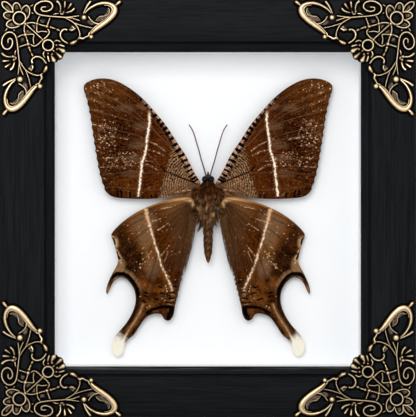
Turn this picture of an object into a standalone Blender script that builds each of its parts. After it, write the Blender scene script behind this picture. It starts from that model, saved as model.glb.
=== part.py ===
"""A framed moth specimen: a set swallow-tailed moth on a white board, in a black wooden box frame with
brass filigree corners. Metres, +Z up. The front faces -Y and the frame stands on its bottom rail, with
the origin under the middle of the whole object."""

import math

import bmesh
import bpy
from mathutils import Vector
from mathutils.geometry import delaunay_2d_cdt

MM = 0.001

# The frame, from outside to inside and from front to back
FRAME_WIDTH = 203 * MM
FRAME_HEIGHT = 207 * MM
FRAME_DEPTH = 35 * MM
RAIL_WIDTH = 26.8 * MM
FACE_WIDTH = 22.0 * MM
QUIRK_WIDTH = 1.1 * MM
QUIRK_DEPTH = 3.8 * MM
LIP_TOP = 2.4 * MM
LIP_EDGE = 4.4 * MM
REBATE_TOP = 6.5 * MM
REBATE_WALL = 21.5 * MM
ARRIS = 0.6 * MM
GAP = 0.3 * MM

# What the rebate holds
GLASS_THICK = 2.0 * MM
SPACER_DEPTH = 16.0 * MM
SPACER_THICK = 5.0 * MM
BOARD_THICK = 2.0 * MM
PANEL_THICK = 2.5 * MM

# The cast brass corners
CORNER_THICK = 2.2 * MM
STRAND_MARGIN_PX = 0.6
STRAND_OVERLAP = 0.5
OUTLINE_TOLERANCE_PX = 1.0
SMALLEST_HOLE_AREA_PX = 10.0
RING_SIDES = 16
BALL_SIDES = 10

# The photograph's scale at the frame's face, and how far off it was taken
FRAME_WIDTH_PX = 417.4
FRAME_CENTRE_PX = (207.8, 209.3)
PHOTO_SIZE_PX = (416, 417)
VIEW_DISTANCE = 1.5

# Depths are measured from the frame's face towards the wall
FACE_Y = (CORNER_THICK + GAP - FRAME_DEPTH) / 2
GLASS_FRONT = REBATE_TOP + GAP
SPACER_FRONT = GLASS_FRONT + GLASS_THICK + GAP
BOARD_FRONT = SPACER_FRONT + SPACER_DEPTH + GAP
PANEL_FRONT = BOARD_FRONT + BOARD_THICK + GAP
PANEL_BACK = PANEL_FRONT + PANEL_THICK

# The moth's heights above the board, and its thin parts
WING_THICK = 0.35 * MM
FOREWING_ROOT = 6.2 * MM
HINDWING_ROOT = 4.9 * MM
WING_DROOP = 0.032
BODY_HEIGHT = 5.2 * MM
BODY_TILT = 0.03
BODY_SQUASH = 0.66
BODY_SIDES = 16
ANTENNA_HEIGHT = 5.0 * MM
ANTENNA_RADIUS = 0.32 * MM
WING_CLEARANCE_PX = 1.3

# The moth's outlines on its left half, in pixels of the photograph
MOTH_AXIS_PX = 208.1
FOREWING_PX = [
    (200.4, 182.6), (193.8, 171.7), (185.8, 155.6), (176.6, 141.8), (166.3, 125.8), (154.8, 111.8),
    (143.3, 99.2), (131.8, 89.6), (120.4, 82.7), (110.8, 79.2), (100.8, 78.3), (91.7, 80.0),
    (85.3, 83.5), (83.5, 88.0), (85.3, 96.0), (89.4, 114.3), (92.8, 137.2), (96.5, 160.2),
    (99.8, 176.0), (104.3, 189.0), (108.9, 194.6), (115.0, 197.3), (126.0, 198.5), (145.0, 199.0),
    (160.5, 198.2), (176.0, 196.8),
]
FOREWING_ROOT_PX = (196.0, 192.0, 188.0, 185.0)
HINDWING_PX = [
    (188.4, 196.0), (176.9, 197.8), (166.7, 200.2), (156.5, 203.4), (146.3, 207.4), (136.1, 212.5),
    (127.2, 218.3), (119.5, 224.6), (113.6, 230.8), (111.2, 235.6), (113.3, 241.4), (116.9, 254.0),
    (117.8, 259.8), (116.9, 265.0), (110.6, 276.9), (107.4, 284.6), (106.0, 291.0), (107.0, 294.1),
    (109.4, 289.9), (112.5, 283.3), (117.0, 278.6), (122.1, 277.5), (127.2, 280.0), (131.7, 285.2),
    (134.7, 291.6), (135.7, 298.6), (134.8, 305.6), (132.3, 312.7), (128.5, 319.7), (123.4, 326.7),
    (117.6, 333.1), (113.4, 339.4), (111.5, 346.0), (112.5, 352.2), (115.7, 355.9), (119.5, 355.9),
    (122.7, 352.4), (124.2, 345.8), (127.8, 340.1), (133.6, 335.0), (138.0, 328.6), (142.5, 321.8),
    (147.3, 316.6), (154.0, 313.9), (159.7, 313.9), (162.3, 316.0), (164.2, 319.2), (168.0, 320.8),
    (171.2, 319.0), (173.8, 313.9), (175.9, 306.0), (178.9, 294.8), (182.4, 283.0), (186.5, 269.3),
    (189.9, 258.0), (193.1, 245.0), (195.8, 231.0), (197.4, 223.6),
]
HINDWING_ROOT_PX = (220.0, 212.0, 204.0, 197.0)
ANTENNA_PX = [(205.3, 173.2), (203.5, 166.8), (201.2, 159.4), (198.9, 150.4), (196.6, 142.7),
              (194.4, 135.3), (192.1, 129.5), (188.9, 124.6)]
# The furry body from its palps to its tail as (height in the photograph, half width)
BODY_MIDDLE_PX = 203.0
BODY_PX = [
    (171.4, 0.0), (172.2, 0.8), (174.4, 1.4), (175.6, 3.2), (177.2, 5.4), (179.4, 6.3), (181.4, 5.4),
    (182.8, 5.6), (185.5, 9.0), (190.0, 11.6), (196.0, 12.8), (203.0, 13.3), (212.0, 12.6),
    (219.0, 10.8), (224.0, 7.4), (227.0, 5.2), (231.0, 5.5), (237.0, 4.9), (242.0, 5.2), (248.0, 4.6),
    (252.0, 4.4), (257.0, 3.0), (261.0, 1.7), (263.4, 0.0),
]

# The corner filigree: strands as (x, y, half width) in pixels from the photograph's top left corner
RING_SPOTS = [(19.5, 18.0, 6.3, 0.98), (48.0, 45.2, 5.35, 0.85)]
BALL_SPOTS = [(84.2, 17.9, 3.0), (91.4, 36.6, 2.3)]
ARM_STRANDS = {
    "tip_leaf": [(1.7, 1.7, 0.95), (5.0, 1.5, 0.95), (8.5, 2.9, 0.9), (11.8, 6.0, 0.85), (13.1, 9.0, 0.8)],
    "petal_near": [(13.4, 12.0, 0.85), (13.1, 8.0, 0.85), (13.5, 4.6, 0.9), (14.9, 2.6, 0.95),
                   (16.9, 2.1, 0.95), (19.1, 3.4, 0.9), (20.5, 6.0, 0.8), (21.0, 8.2, 0.6)],
    "petal_far": [(21.3, 11.6, 0.8), (22.6, 8.0, 0.85), (24.9, 5.5, 0.95), (27.2, 4.8, 1.0),
                  (29.1, 6.3, 0.95), (29.8, 9.4, 0.9), (29.6, 12.8, 0.85), (28.6, 16.4, 0.75),
                  (27.0, 18.8, 0.7)],
    "bract": [(30.4, 6.1, 0.7), (33.8, 4.9, 0.5)],
    "spiral": [(45.9, 6.7, 0.75), (42.6, 6.9, 0.85), (40.7, 8.4, 0.9), (41.5, 10.3, 0.95),
               (44.8, 11.6, 1.0), (48.3, 11.3, 1.05), (51.6, 9.3, 1.1), (52.9, 6.4, 1.15),
               (51.3, 3.4, 1.15), (47.5, 1.6, 1.1), (43.0, 1.2, 1.1), (38.7, 2.6, 1.1),
               (35.4, 5.4, 1.1), (34.4, 8.6, 1.05), (35.7, 12.0, 1.0), (38.6, 14.5, 0.95),
               (43.0, 15.6, 0.9), (49.8, 16.3, 0.85), (59.0, 17.0, 0.8), (66.2, 17.4, 0.8),
               (72.9, 16.5, 0.65), (80.6, 16.0, 0.6)],
    "stem_low": [(66.2, 17.6, 0.7), (72.9, 18.8, 0.65), (80.8, 20.2, 0.6)],
    "stem_curl": [(65.0, 18.3, 0.6), (70.6, 21.2, 0.7), (74.2, 23.7, 0.7), (77.3, 27.2, 0.7),
                  (79.3, 31.3, 0.7), (79.8, 35.5, 0.7), (78.7, 38.0, 0.8)],
    "stem_leaf": [(74.0, 22.8, 0.6), (80.0, 25.0, 0.65), (86.3, 26.8, 0.6), (94.4, 28.2, 0.6)],
    "ray_1": [(56.8, 1.7, 1.3), (59.0, 3.4, 1.1), (60.4, 6.9, 0.8), (60.5, 11.0, 0.6)],
    "ray_2": [(65.3, 2.2, 1.2), (65.0, 5.4, 0.95), (64.6, 8.6, 0.6)],
    "ray_3": [(70.8, 3.8, 1.25), (69.3, 6.3, 1.0), (67.8, 8.8, 0.6)],
    "ray_4": [(74.2, 8.9, 1.2), (71.1, 10.9, 0.9), (66.4, 12.6, 0.6)],
    "ray_foot": [(55.4, 15.2, 0.7), (59.6, 12.2, 1.0), (64.8, 12.6, 1.1)],
    "ray_neck": [(67.6, 9.0, 0.5), (64.4, 12.4, 0.5), (64.8, 8.4, 0.5)],
    "rod": [(81.8, 14.3, 0.7), (85.4, 9.6, 0.9), (88.0, 4.8, 1.1), (90.2, 1.7, 1.2)],
    "loop_top": [(84.8, 12.6, 0.8), (90.7, 7.8, 1.0), (96.5, 4.4, 1.15), (103.2, 2.8, 1.25),
                 (109.9, 2.9, 1.2), (116.0, 5.0, 1.0)],
    "loop_band": [(116.6, 5.2, 1.2), (116.4, 8.8, 1.5), (115.0, 12.8, 1.9), (112.2, 17.0, 2.2),
                  (108.2, 21.0, 2.4), (103.2, 25.0, 2.4), (97.6, 28.6, 2.1), (93.0, 31.8, 1.7),
                  (90.6, 35.4, 1.4)],
    "loop_inner": [(87.6, 16.6, 0.8), (92.6, 21.4, 0.75), (96.5, 23.4, 0.75), (102.5, 23.4, 0.7)],
    "flame_leaf": [(95.8, 20.4, 0.5), (98.6, 18.6, 1.2), (102.5, 17.6, 1.9), (106.6, 15.4, 2.2),
                   (108.9, 11.8, 1.4), (108.6, 8.2, 0.5)],
    "finial": [(116.8, 4.9, 1.1), (119.2, 2.8, 1.5), (121.0, 1.5, 1.2)],
    "c_scroll": [(68.4, 30.2, 0.9), (63.9, 30.5, 1.1), (61.5, 33.0, 1.2), (61.2, 36.6, 1.15),
                 (63.2, 40.2, 1.0), (67.0, 42.9, 1.0)],
    "c_bead": [(69.6, 43.3, 1.5), (73.8, 42.0, 1.4), (76.4, 39.9, 1.0), (78.7, 38.0, 0.9)],
    "chain": [(78.7, 38.0, 1.0), (81.6, 38.9, 1.3), (85.4, 37.1, 0.8), (90.0, 35.8, 0.7)],
    "bud": [(69.2, 29.8, 0.8), (72.6, 29.2, 1.1), (77.4, 27.6, 0.7)],
    "net_long": [(25.4, 23.7, 1.0), (31.8, 22.8, 0.75), (37.3, 23.9, 1.0), (44.5, 26.3, 0.7),
                 (47.3, 26.6, 1.1), (54.3, 28.4, 0.7), (61.5, 32.6, 0.65)],
    "net_cross": [(40.2, 15.4, 0.8), (38.0, 21.0, 0.7), (37.1, 27.0, 0.7), (37.1, 32.2, 0.7),
                  (40.6, 31.6, 0.7), (44.0, 31.6, 0.7), (48.6, 33.4, 0.6)],
    "net_end": [(50.4, 17.0, 0.9), (49.3, 21.8, 0.8), (47.5, 26.0, 0.8), (47.6, 29.6, 0.7),
                (49.4, 32.1, 0.8), (48.2, 34.9, 0.8), (45.2, 37.2, 0.75), (42.8, 39.7, 0.9)],
}
SHELL_RAYS = {
    "leaf": [(52.6, 43.0, 0.6), (55.4, 41.0, 0.8), (57.8, 40.5, 0.85), (62.6, 40.0, 0.7)],
    "thin": [(52.6, 45.2, 0.75), (59.6, 45.4, 0.7), (64.0, 46.4, 0.75)],
    "bulb": [(52.6, 46.8, 0.6), (60.2, 49.6, 0.8), (62.0, 50.9, 1.5), (63.7, 51.9, 1.9)],
}
MIDDLE_STRANDS = {
    "net_middle": [(25.6, 24.0, 1.0), (34.4, 32.4, 0.75), (44.6, 41.6, 1.0)],
    "shell_middle": [(51.6, 48.6, 0.6), (56.6, 53.2, 0.8), (59.0, 55.3, 1.1), (61.4, 57.5, 1.6)],
}
OTHER_ARM_REACH = 0.955

# Fittings on the back
POINT_LENGTH = 12 * MM
POINT_WIDTH = 7 * MM
POINT_THICK = 0.5 * MM
POINT_SPREAD = 45 * MM
HANGER_LENGTH = 44 * MM
HANGER_HEIGHT = 9 * MM
HANGER_THICK = 0.8 * MM
HANGER_LIFT = 2.0 * MM
HANGER_TEETH = 9
TOOTH_DEPTH = 1.6 * MM
HANGER_BELOW_TOP = 16 * MM
RIVET_RADIUS = 1.6 * MM
RIVET_HEAD = 0.8 * MM


def clear_scene():
    for obj in list(bpy.data.objects):
        bpy.data.objects.remove(obj)


def collection(name):
    made = bpy.data.collections.new(name)
    bpy.context.scene.collection.children.link(made)
    return made


def material(name, colour, roughness, metallic=0.0, transmission=0.0):
    made = bpy.data.materials.new(name)
    made.use_nodes = True
    shader = made.node_tree.nodes["Principled BSDF"]
    shader.inputs["Base Color"].default_value = (*colour, 1.0)
    shader.inputs["Roughness"].default_value = roughness
    shader.inputs["Metallic"].default_value = metallic
    shader.inputs["Transmission Weight"].default_value = transmission
    made.diffuse_color = (*colour, 1.0)
    return made


def piece(name, shape, finish, home):
    """An object of this mesh or curve and material in the collection home."""
    made = bpy.data.objects.new(name, shape)
    shape.materials.clear()
    shape.materials.append(finish)
    home.objects.link(made)
    return made


def mesh_of(bm, name):
    """A mesh from this bmesh, with its faces pointing out."""
    bmesh.ops.recalc_face_normals(bm, faces=bm.faces)
    mesh = bpy.data.meshes.new(name)
    bm.to_mesh(mesh)
    bm.free()
    return mesh


def photo_scale(depth):
    """Metres to a pixel for what lies this far behind the frame's face."""
    return FRAME_WIDTH / FRAME_WIDTH_PX * (1 + depth / VIEW_DISTANCE)


def from_photo(x_px, y_px, depth):
    """(x, z) in metres of a point of the photograph at a depth behind the face."""
    scale = photo_scale(depth)
    x = (x_px - FRAME_CENTRE_PX[0]) * scale
    z = FRAME_HEIGHT / 2 - (y_px - FRAME_CENTRE_PX[1]) * scale
    return x, z


def flat_piece(name, outlines, thick, finish, home):
    """An upright sheet: closed outlines of (x, z), the inner ones holes, given a thickness about y = 0."""
    curve = bpy.data.curves.new(name, "CURVE")
    curve.dimensions = "2D"
    curve.fill_mode = "BOTH"
    curve.extrude = thick / 2
    for outline in outlines:
        spline = curve.splines.new("POLY")
        spline.points.add(len(outline) - 1)
        for point, (x, z) in zip(spline.points, outline):
            point.co = (x, z, 0, 1)
        spline.use_cyclic_u = True
    made = piece(name, curve, finish, home)
    made.rotation_euler = (math.radians(90), 0, 0)
    return made


def box(name, low, high, finish, home):
    bm = bmesh.new()
    bmesh.ops.create_cube(bm, size=1.0)
    low, high = Vector(low), Vector(high)
    bmesh.ops.scale(bm, vec=high - low, verts=bm.verts)
    bmesh.ops.translate(bm, vec=(low + high) / 2, verts=bm.verts)
    return piece(name, mesh_of(bm, name), finish, home)


# The wooden frame

def rail_profile():
    """The moulding's section as (distance in from the frame's outer edge, depth behind its face)."""
    quirk_end = FACE_WIDTH + QUIRK_WIDTH
    return [
        (ARRIS, 0.0), (FACE_WIDTH - ARRIS / 2, 0.0), (FACE_WIDTH, ARRIS / 2),
        (FACE_WIDTH, QUIRK_DEPTH), (quirk_end, QUIRK_DEPTH), (quirk_end, LIP_TOP + ARRIS / 2),
        (quirk_end + ARRIS / 2, LIP_TOP), (RAIL_WIDTH, LIP_EDGE), (RAIL_WIDTH, REBATE_TOP),
        (REBATE_WALL, REBATE_TOP), (REBATE_WALL, FRAME_DEPTH), (0.0, FRAME_DEPTH),
        (0.0, ARRIS), (ARRIS * 0.3, ARRIS * 0.3),
    ]


def rail(name, across, up, finish, home):
    """One mitred rail. across and up are the unit steps from the frame's middle to this rail's side."""
    half = Vector((FRAME_WIDTH / 2, 0, FRAME_HEIGHT / 2))
    outward = Vector((across, 0, up))
    along = Vector((abs(up), 0, abs(across)))
    centre = Vector((0, 0, FRAME_HEIGHT / 2))
    mitre_gap = GAP / math.sqrt(2)
    bm = bmesh.new()
    rings = []
    for end in (-1, 1):
        ring = []
        for inset, depth in rail_profile():
            reach = half.dot(outward * (across + up)) - inset
            length = half.dot(along) - inset - mitre_gap
            place = centre + outward * reach + along * end * length
            ring.append(bm.verts.new((place.x, FACE_Y + depth, place.z)))
        rings.append(bm.faces.new(ring))
    bmesh.ops.bridge_loops(bm, edges=[edge for ring in rings for edge in ring.edges])
    return piece(name, mesh_of(bm, name), finish, home)


def build_frame(home):
    black = material("black_stained_wood", (0.012, 0.013, 0.015), 0.55)
    rail("frame_rail_top", 0, 1, black, home)
    rail("frame_rail_bottom", 0, -1, black, home)
    rail("frame_rail_left", -1, 0, black, home)
    rail("frame_rail_right", 1, 0, black, home)


# Glass, spacers, board and back panel

def rebate_box(name, front, thick, finish, home):
    """A sheet that fills the rebate from wall to wall."""
    half = FRAME_WIDTH / 2 - REBATE_WALL - GAP
    low = (-half, FACE_Y + front, REBATE_WALL + GAP)
    high = (half, FACE_Y + front + thick, FRAME_HEIGHT - REBATE_WALL - GAP)
    return box(name, low, high, finish, home)


def build_spacers(home):
    white = material("white_foam_board", (0.86, 0.87, 0.88), 0.7)
    front = FACE_Y + SPACER_FRONT
    back = front + SPACER_DEPTH
    outer_x = FRAME_WIDTH / 2 - REBATE_WALL - GAP
    inner_x = FRAME_WIDTH / 2 - RAIL_WIDTH
    low_z, high_z = REBATE_WALL + GAP, FRAME_HEIGHT - REBATE_WALL - GAP
    sides = {"spacer_left": -1, "spacer_right": 1}
    for name, side in sides.items():
        x_ends = sorted((side * inner_x, side * outer_x))
        box(name, (x_ends[0], front, low_z), (x_ends[1], back, high_z), white, home)
    reach = inner_x - GAP
    box("spacer_bottom", (-reach, front, low_z), (reach, back, RAIL_WIDTH), white, home)
    box("spacer_top", (-reach, front, FRAME_HEIGHT - RAIL_WIDTH), (reach, back, high_z), white, home)


def build_infill(home):
    glass = material("clear_glass", (1.0, 1.0, 1.0), 0.02, transmission=1.0)
    white = material("white_mount_board", (0.90, 0.91, 0.92), 0.8)
    brown = material("brown_hardboard", (0.23, 0.13, 0.065), 0.75)
    rebate_box("glass_pane", GLASS_FRONT, GLASS_THICK, glass, home)
    rebate_box("mount_board", BOARD_FRONT, BOARD_THICK, white, home)
    rebate_box("back_panel", PANEL_FRONT, PANEL_THICK, brown, home)


# Fittings on the back

def framers_point(name, x, z, turn, finish, home):
    """A flat steel point on the back panel, its square end at the rebate's wall. turn is in degrees."""
    half = POINT_WIDTH / 2
    shoulder = POINT_LENGTH * 0.7
    outline = [(0, -half), (shoulder, -half), (POINT_LENGTH, 0), (shoulder, half), (0, half)]
    made = flat_piece(name, [outline], POINT_THICK, finish, home)
    made.location = (x, FACE_Y + PANEL_BACK + GAP + POINT_THICK / 2, z)
    made.rotation_euler.y = math.radians(turn)
    return made


def build_points(home):
    steel = material("zinc_steel", (0.55, 0.56, 0.58), 0.35, metallic=1.0)
    wall_x = FRAME_WIDTH / 2 - REBATE_WALL - GAP
    low_z, high_z = REBATE_WALL + GAP, FRAME_HEIGHT - REBATE_WALL - GAP
    middle = FRAME_HEIGHT / 2
    for number, side in enumerate((-1, 1), start=1):
        offset = side * POINT_SPREAD
        framers_point(f"framers_point_left_{number}", -wall_x, middle + offset, 0, steel, home)
        framers_point(f"framers_point_right_{number}", wall_x, middle + offset, 180, steel, home)
        framers_point(f"framers_point_bottom_{number}", offset, low_z, -90, steel, home)
        framers_point(f"framers_point_top_{number}", offset, high_z, 90, steel, home)


def hanger_outline():
    """The sawtooth hanger from its top edge down, as (x, z) about the middle of its top edge."""
    half = HANGER_LENGTH / 2
    tooth_half = half * 0.5
    step = 2 * tooth_half / HANGER_TEETH
    outline = [(-half, 0), (-half, -HANGER_HEIGHT), (-tooth_half, -HANGER_HEIGHT)]
    for tooth in range(HANGER_TEETH):
        start = -tooth_half + tooth * step
        outline.append((start + step / 2, TOOTH_DEPTH - HANGER_HEIGHT))
        outline.append((start + step, -HANGER_HEIGHT))
    return outline + [(half, -HANGER_HEIGHT), (half, 0)]


def build_hanger(home):
    """A sawtooth hanger riveted to the back panel, its middle bowed out so that a nail goes behind it."""
    brassed = material("brassed_steel", (0.70, 0.55, 0.30), 0.35, metallic=1.0)
    top_z = FRAME_HEIGHT - REBATE_WALL - HANGER_BELOW_TOP
    seat_y = FACE_Y + PANEL_BACK + GAP
    half = HANGER_LENGTH / 2
    bow_start, bow_end = half * 0.68, half * 0.56
    bm = bmesh.new()
    bm.faces.new([bm.verts.new((x, 0, z)) for x, z in hanger_outline()])
    for cut in (-bow_start, -bow_end, bow_end, bow_start):
        parts = [*bm.verts, *bm.edges, *bm.faces]
        bmesh.ops.bisect_plane(bm, geom=parts, plane_co=(cut, 0, 0), plane_no=(1, 0, 0))
    grown = bmesh.ops.extrude_face_region(bm, geom=bm.faces[:])
    lifted = [v for v in grown["geom"] if isinstance(v, bmesh.types.BMVert)]
    bmesh.ops.translate(bm, vec=(0, HANGER_THICK, 0), verts=lifted)
    bowed = [v for v in bm.verts if abs(v.co.x) < bow_end + GAP]
    bmesh.ops.translate(bm, vec=(0, HANGER_LIFT, 0), verts=bowed)
    made = piece("sawtooth_hanger", mesh_of(bm, "sawtooth_hanger"), brassed, home)
    made.location = (0, seat_y, top_z)
    rivet_y = seat_y + HANGER_THICK + GAP + RIVET_HEAD / 2
    for side, place in ((-1, "left"), (1, "right")):
        bm = bmesh.new()
        bmesh.ops.create_cone(bm, cap_ends=True, segments=12, radius1=RIVET_RADIUS,
                              radius2=RIVET_RADIUS * 0.6, depth=RIVET_HEAD)
        rivet = piece(f"hanger_rivet_{place}", mesh_of(bm, "rivet"), brassed, home)
        rivet.rotation_euler = (math.radians(-90), 0, 0)
        rivet.location = (side * half * 0.84, rivet_y, top_z - HANGER_HEIGHT / 2)


# The brass corners

def other_arm(points):
    """The same strand on the corner's upright arm, which is a little shorter."""
    return [(y, x * OTHER_ARM_REACH, r) for x, y, r in points]


def across_shell(points):
    """The same ray on the other side of the shell's middle line."""
    x_ring, y_ring = RING_SPOTS[1][:2]
    return [(x_ring + y - y_ring, y_ring + x - x_ring, r) for x, y, r in points]


def all_strands():
    strands = list(MIDDLE_STRANDS.values())
    for points in ARM_STRANDS.values():
        strands += [points, other_arm(points)]
    for points in SHELL_RAYS.values():
        strands += [points, across_shell(points)]
    return strands


def circle(x, y, radius, sides):
    turns = [2 * math.pi * k / sides for k in range(sides)]
    return [Vector((x + radius * math.cos(turn), y + radius * math.sin(turn))) for turn in turns]


def covered_shapes():
    """Every patch that the corner's strands, rings and balls cover, as loops of points in pixels."""
    shapes = []
    for points in all_strands():
        for (x0, y0, r0), (x1, y1, r1) in zip(points, points[1:]):
            start, end = Vector((x0, y0)), Vector((x1, y1))
            run = (end - start).normalized()
            side = Vector((-run.y, run.x))
            start -= run * r0 * STRAND_OVERLAP
            end += run * r1 * STRAND_OVERLAP
            wide0, wide1 = side * (r0 + STRAND_MARGIN_PX), side * (r1 + STRAND_MARGIN_PX)
            shapes.append([start - wide0, end - wide1, end + wide1, start + wide0])
    for x, y, radius, half_width in RING_SPOTS:
        reach = half_width + STRAND_MARGIN_PX
        outer = circle(x, y, radius + reach, RING_SIDES)
        inner = circle(x, y, radius - reach, RING_SIDES)
        shapes += [[outer[k - 1], outer[k], inner[k], inner[k - 1]] for k in range(RING_SIDES)]
    for x, y, radius in BALL_SPOTS + other_arm(BALL_SPOTS):
        shapes.append(circle(x, y, radius + STRAND_MARGIN_PX, BALL_SIDES))
    return shapes


def border_loops(shapes):
    """The loops of points around the union of these shapes, and around its holes."""
    corners = [corner for shape in shapes for corner in shape]
    faces, first = [], 0
    for shape in shapes:
        faces.append(list(range(first, first + len(shape))))
        first += len(shape)
    places, _, triangles, _, _, sources = delaunay_2d_cdt(corners, [], faces, 0, 1e-3, True)
    sides = set()
    for triangle, covered_by in zip(triangles, sources):
        if covered_by:
            sides.update(zip(triangle, [*triangle[1:], triangle[0]]))
    onward = {}
    for start, end in sides:
        if (end, start) not in sides:
            onward.setdefault(start, []).append(end)
    loops = []
    while onward:
        start = next(iter(onward))
        loop, spot = [], start
        while spot in onward:
            loop.append(places[spot])
            following = onward[spot].pop()
            if not onward[spot]:
                del onward[spot]
            spot = following
        loops.append(loop)
    return loops


def thinned(points, tolerance):
    """The polyline without the points that lie within tolerance of the line past them."""
    if len(points) < 3:
        return points
    start, end = points[0], points[-1]
    line = end - start
    away = []
    for point in points[1:-1]:
        share = max(0.0, min(1.0, (point - start).dot(line) / line.length_squared))
        away.append((point - start - line * share).length)
    if max(away) <= tolerance:
        return [start, end]
    far = away.index(max(away)) + 1
    return thinned(points[:far + 1], tolerance)[:-1] + thinned(points[far:], tolerance)


def thinned_loop(loop, tolerance):
    far = max(range(len(loop)), key=lambda k: (loop[k] - loop[0]).length)
    first_half = thinned(loop[:far + 1], tolerance)
    second_half = thinned([*loop[far:], loop[0]], tolerance)
    return first_half[:-1] + second_half[:-1]


def loop_area(loop):
    return abs(sum(a.cross(b) for a, b in zip(loop, [*loop[1:], loop[0]]))) / 2


def corner_outlines():
    """The openwork corner's border and its holes, in pixels from the photograph's top left corner."""
    loops = [thinned_loop(loop, OUTLINE_TOLERANCE_PX) for loop in border_loops(covered_shapes())]
    return [loop for loop in loops if len(loop) > 2 and loop_area(loop) > SMALLEST_HOLE_AREA_PX]


def build_corners(home):
    brass = material("antique_brass", (0.55, 0.38, 0.17), 0.35, metallic=1.0)
    outlines = corner_outlines()
    for across, side in ((-1, "left"), (1, "right")):
        for up, level in ((1, "top"), (-1, "bottom")):
            placed = []
            for loop in outlines:
                xs = [x if across < 0 else PHOTO_SIZE_PX[0] - x for x, y in loop]
                ys = [y if up > 0 else PHOTO_SIZE_PX[1] - y for x, y in loop]
                placed.append([from_photo(x, y, 0) for x, y in zip(xs, ys)])
            made = flat_piece(f"corner_ornament_{level}_{side}", placed, CORNER_THICK, brass, home)
            made.location.y = FACE_Y - GAP - CORNER_THICK / 2


# The moth

def body_half_width(y_px):
    """The body's half width in pixels at a height in the photograph."""
    for (y0, r0), (y1, r1) in zip(BODY_PX, BODY_PX[1:]):
        if y0 <= y_px <= y1:
            return r0 + (r1 - r0) * (y_px - y0) / (y1 - y0)
    return 0.0


def build_wings(home):
    brown = material("moth_wing", (0.13, 0.055, 0.018), 0.8)
    roots = {"forewing": (FOREWING_PX, FOREWING_ROOT_PX, FOREWING_ROOT),
             "hindwing": (HINDWING_PX, HINDWING_ROOT_PX, HINDWING_ROOT)}
    for name, (outline_px, root_px, height) in roots.items():
        depth = BOARD_FRONT - height
        axis_x, _ = from_photo(MOTH_AXIS_PX, 0, depth)
        root = [(MOTH_AXIS_PX - body_half_width(y) - WING_CLEARANCE_PX, y) for y in root_px]
        outline = [from_photo(x, y, depth) for x, y in outline_px + root]
        for side, place in ((1, "left"), (-1, "right")):
            flat = [(side * (x - axis_x), z) for x, z in outline]
            wing = flat_piece(f"moth_{name}_{place}", [flat], WING_THICK, brown, home)
            wing.location = (axis_x, FACE_Y + depth, 0)
            wing.rotation_euler.z = -side * WING_DROOP


def build_body(home):
    """One furry body from the palps to the tail: a turned profile pressed flatter towards the board."""
    fur = material("moth_fur", (0.17, 0.09, 0.045), 0.9)
    depth = BOARD_FRONT - BODY_HEIGHT
    axis_x, middle_z = from_photo(MOTH_AXIS_PX, BODY_MIDDLE_PX, depth)
    bm = bmesh.new()
    profile = [bm.verts.new((r * photo_scale(depth), 0, from_photo(0, y, depth)[1] - middle_z)) for y, r in BODY_PX]
    edges = [bm.edges.new(pair) for pair in zip(profile, profile[1:])]
    bmesh.ops.spin(bm, geom=[*profile, *edges], cent=(0, 0, 0), axis=(0, 0, 1), angle=2 * math.pi,
                   steps=BODY_SIDES, use_merge=True)
    bmesh.ops.remove_doubles(bm, verts=bm.verts, dist=GAP / 10)
    bmesh.ops.scale(bm, vec=(1, BODY_SQUASH, 1), verts=bm.verts)
    body = piece("moth_body", mesh_of(bm, "moth_body"), fur, home)
    body.location = (axis_x, FACE_Y + depth, middle_z)
    body.rotation_euler = (-BODY_TILT, 0, 0)


def build_antennae(home):
    horn = material("moth_antenna", (0.12, 0.07, 0.05), 0.6)
    depth = BOARD_FRONT - ANTENNA_HEIGHT
    axis_x, _ = from_photo(MOTH_AXIS_PX, 0, depth)
    route = [from_photo(x, y, depth) for x, y in ANTENNA_PX]
    for side, place in ((1, "left"), (-1, "right")):
        curve = bpy.data.curves.new(f"moth_antenna_{place}", "CURVE")
        curve.dimensions = "3D"
        curve.bevel_depth = ANTENNA_RADIUS
        curve.bevel_resolution = 1
        curve.use_fill_caps = True
        spline = curve.splines.new("POLY")
        spline.points.add(len(route) - 1)
        for point, (x, z) in zip(spline.points, route):
            point.co = (side * (x - axis_x), 0, z, 1)
        antenna = piece(f"moth_antenna_{place}", curve, horn, home)
        antenna.location = (axis_x, FACE_Y + depth, 0)


def build():
    clear_scene()
    home = collection("framed_moth_specimen")
    build_frame(home)
    build_infill(home)
    build_spacers(home)
    build_points(home)
    build_hanger(home)
    build_corners(home)
    build_wings(home)
    build_body(home)
    build_antennae(home)


build()
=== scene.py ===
"""The look of a framed moth specimen: black stained wood, antique brass filigree corners, a white board
behind glass, and a set swallow-tailed moth. The front faces -Y."""

import math

import bmesh
import bpy
import numpy as np
from mathutils import Matrix, Vector


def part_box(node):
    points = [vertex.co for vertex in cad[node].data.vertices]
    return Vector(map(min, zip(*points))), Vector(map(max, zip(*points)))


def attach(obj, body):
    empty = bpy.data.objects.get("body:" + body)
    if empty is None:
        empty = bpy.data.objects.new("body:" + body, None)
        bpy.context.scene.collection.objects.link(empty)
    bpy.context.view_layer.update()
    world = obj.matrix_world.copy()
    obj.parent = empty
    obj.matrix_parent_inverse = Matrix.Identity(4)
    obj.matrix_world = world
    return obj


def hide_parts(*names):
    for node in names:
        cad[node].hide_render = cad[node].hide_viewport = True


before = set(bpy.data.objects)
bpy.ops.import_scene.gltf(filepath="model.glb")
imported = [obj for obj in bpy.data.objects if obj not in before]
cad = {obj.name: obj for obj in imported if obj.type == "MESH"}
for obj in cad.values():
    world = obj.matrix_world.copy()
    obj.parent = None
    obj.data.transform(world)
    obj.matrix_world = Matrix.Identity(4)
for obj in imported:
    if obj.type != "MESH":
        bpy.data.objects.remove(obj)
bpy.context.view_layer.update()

MM = 0.001

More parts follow.
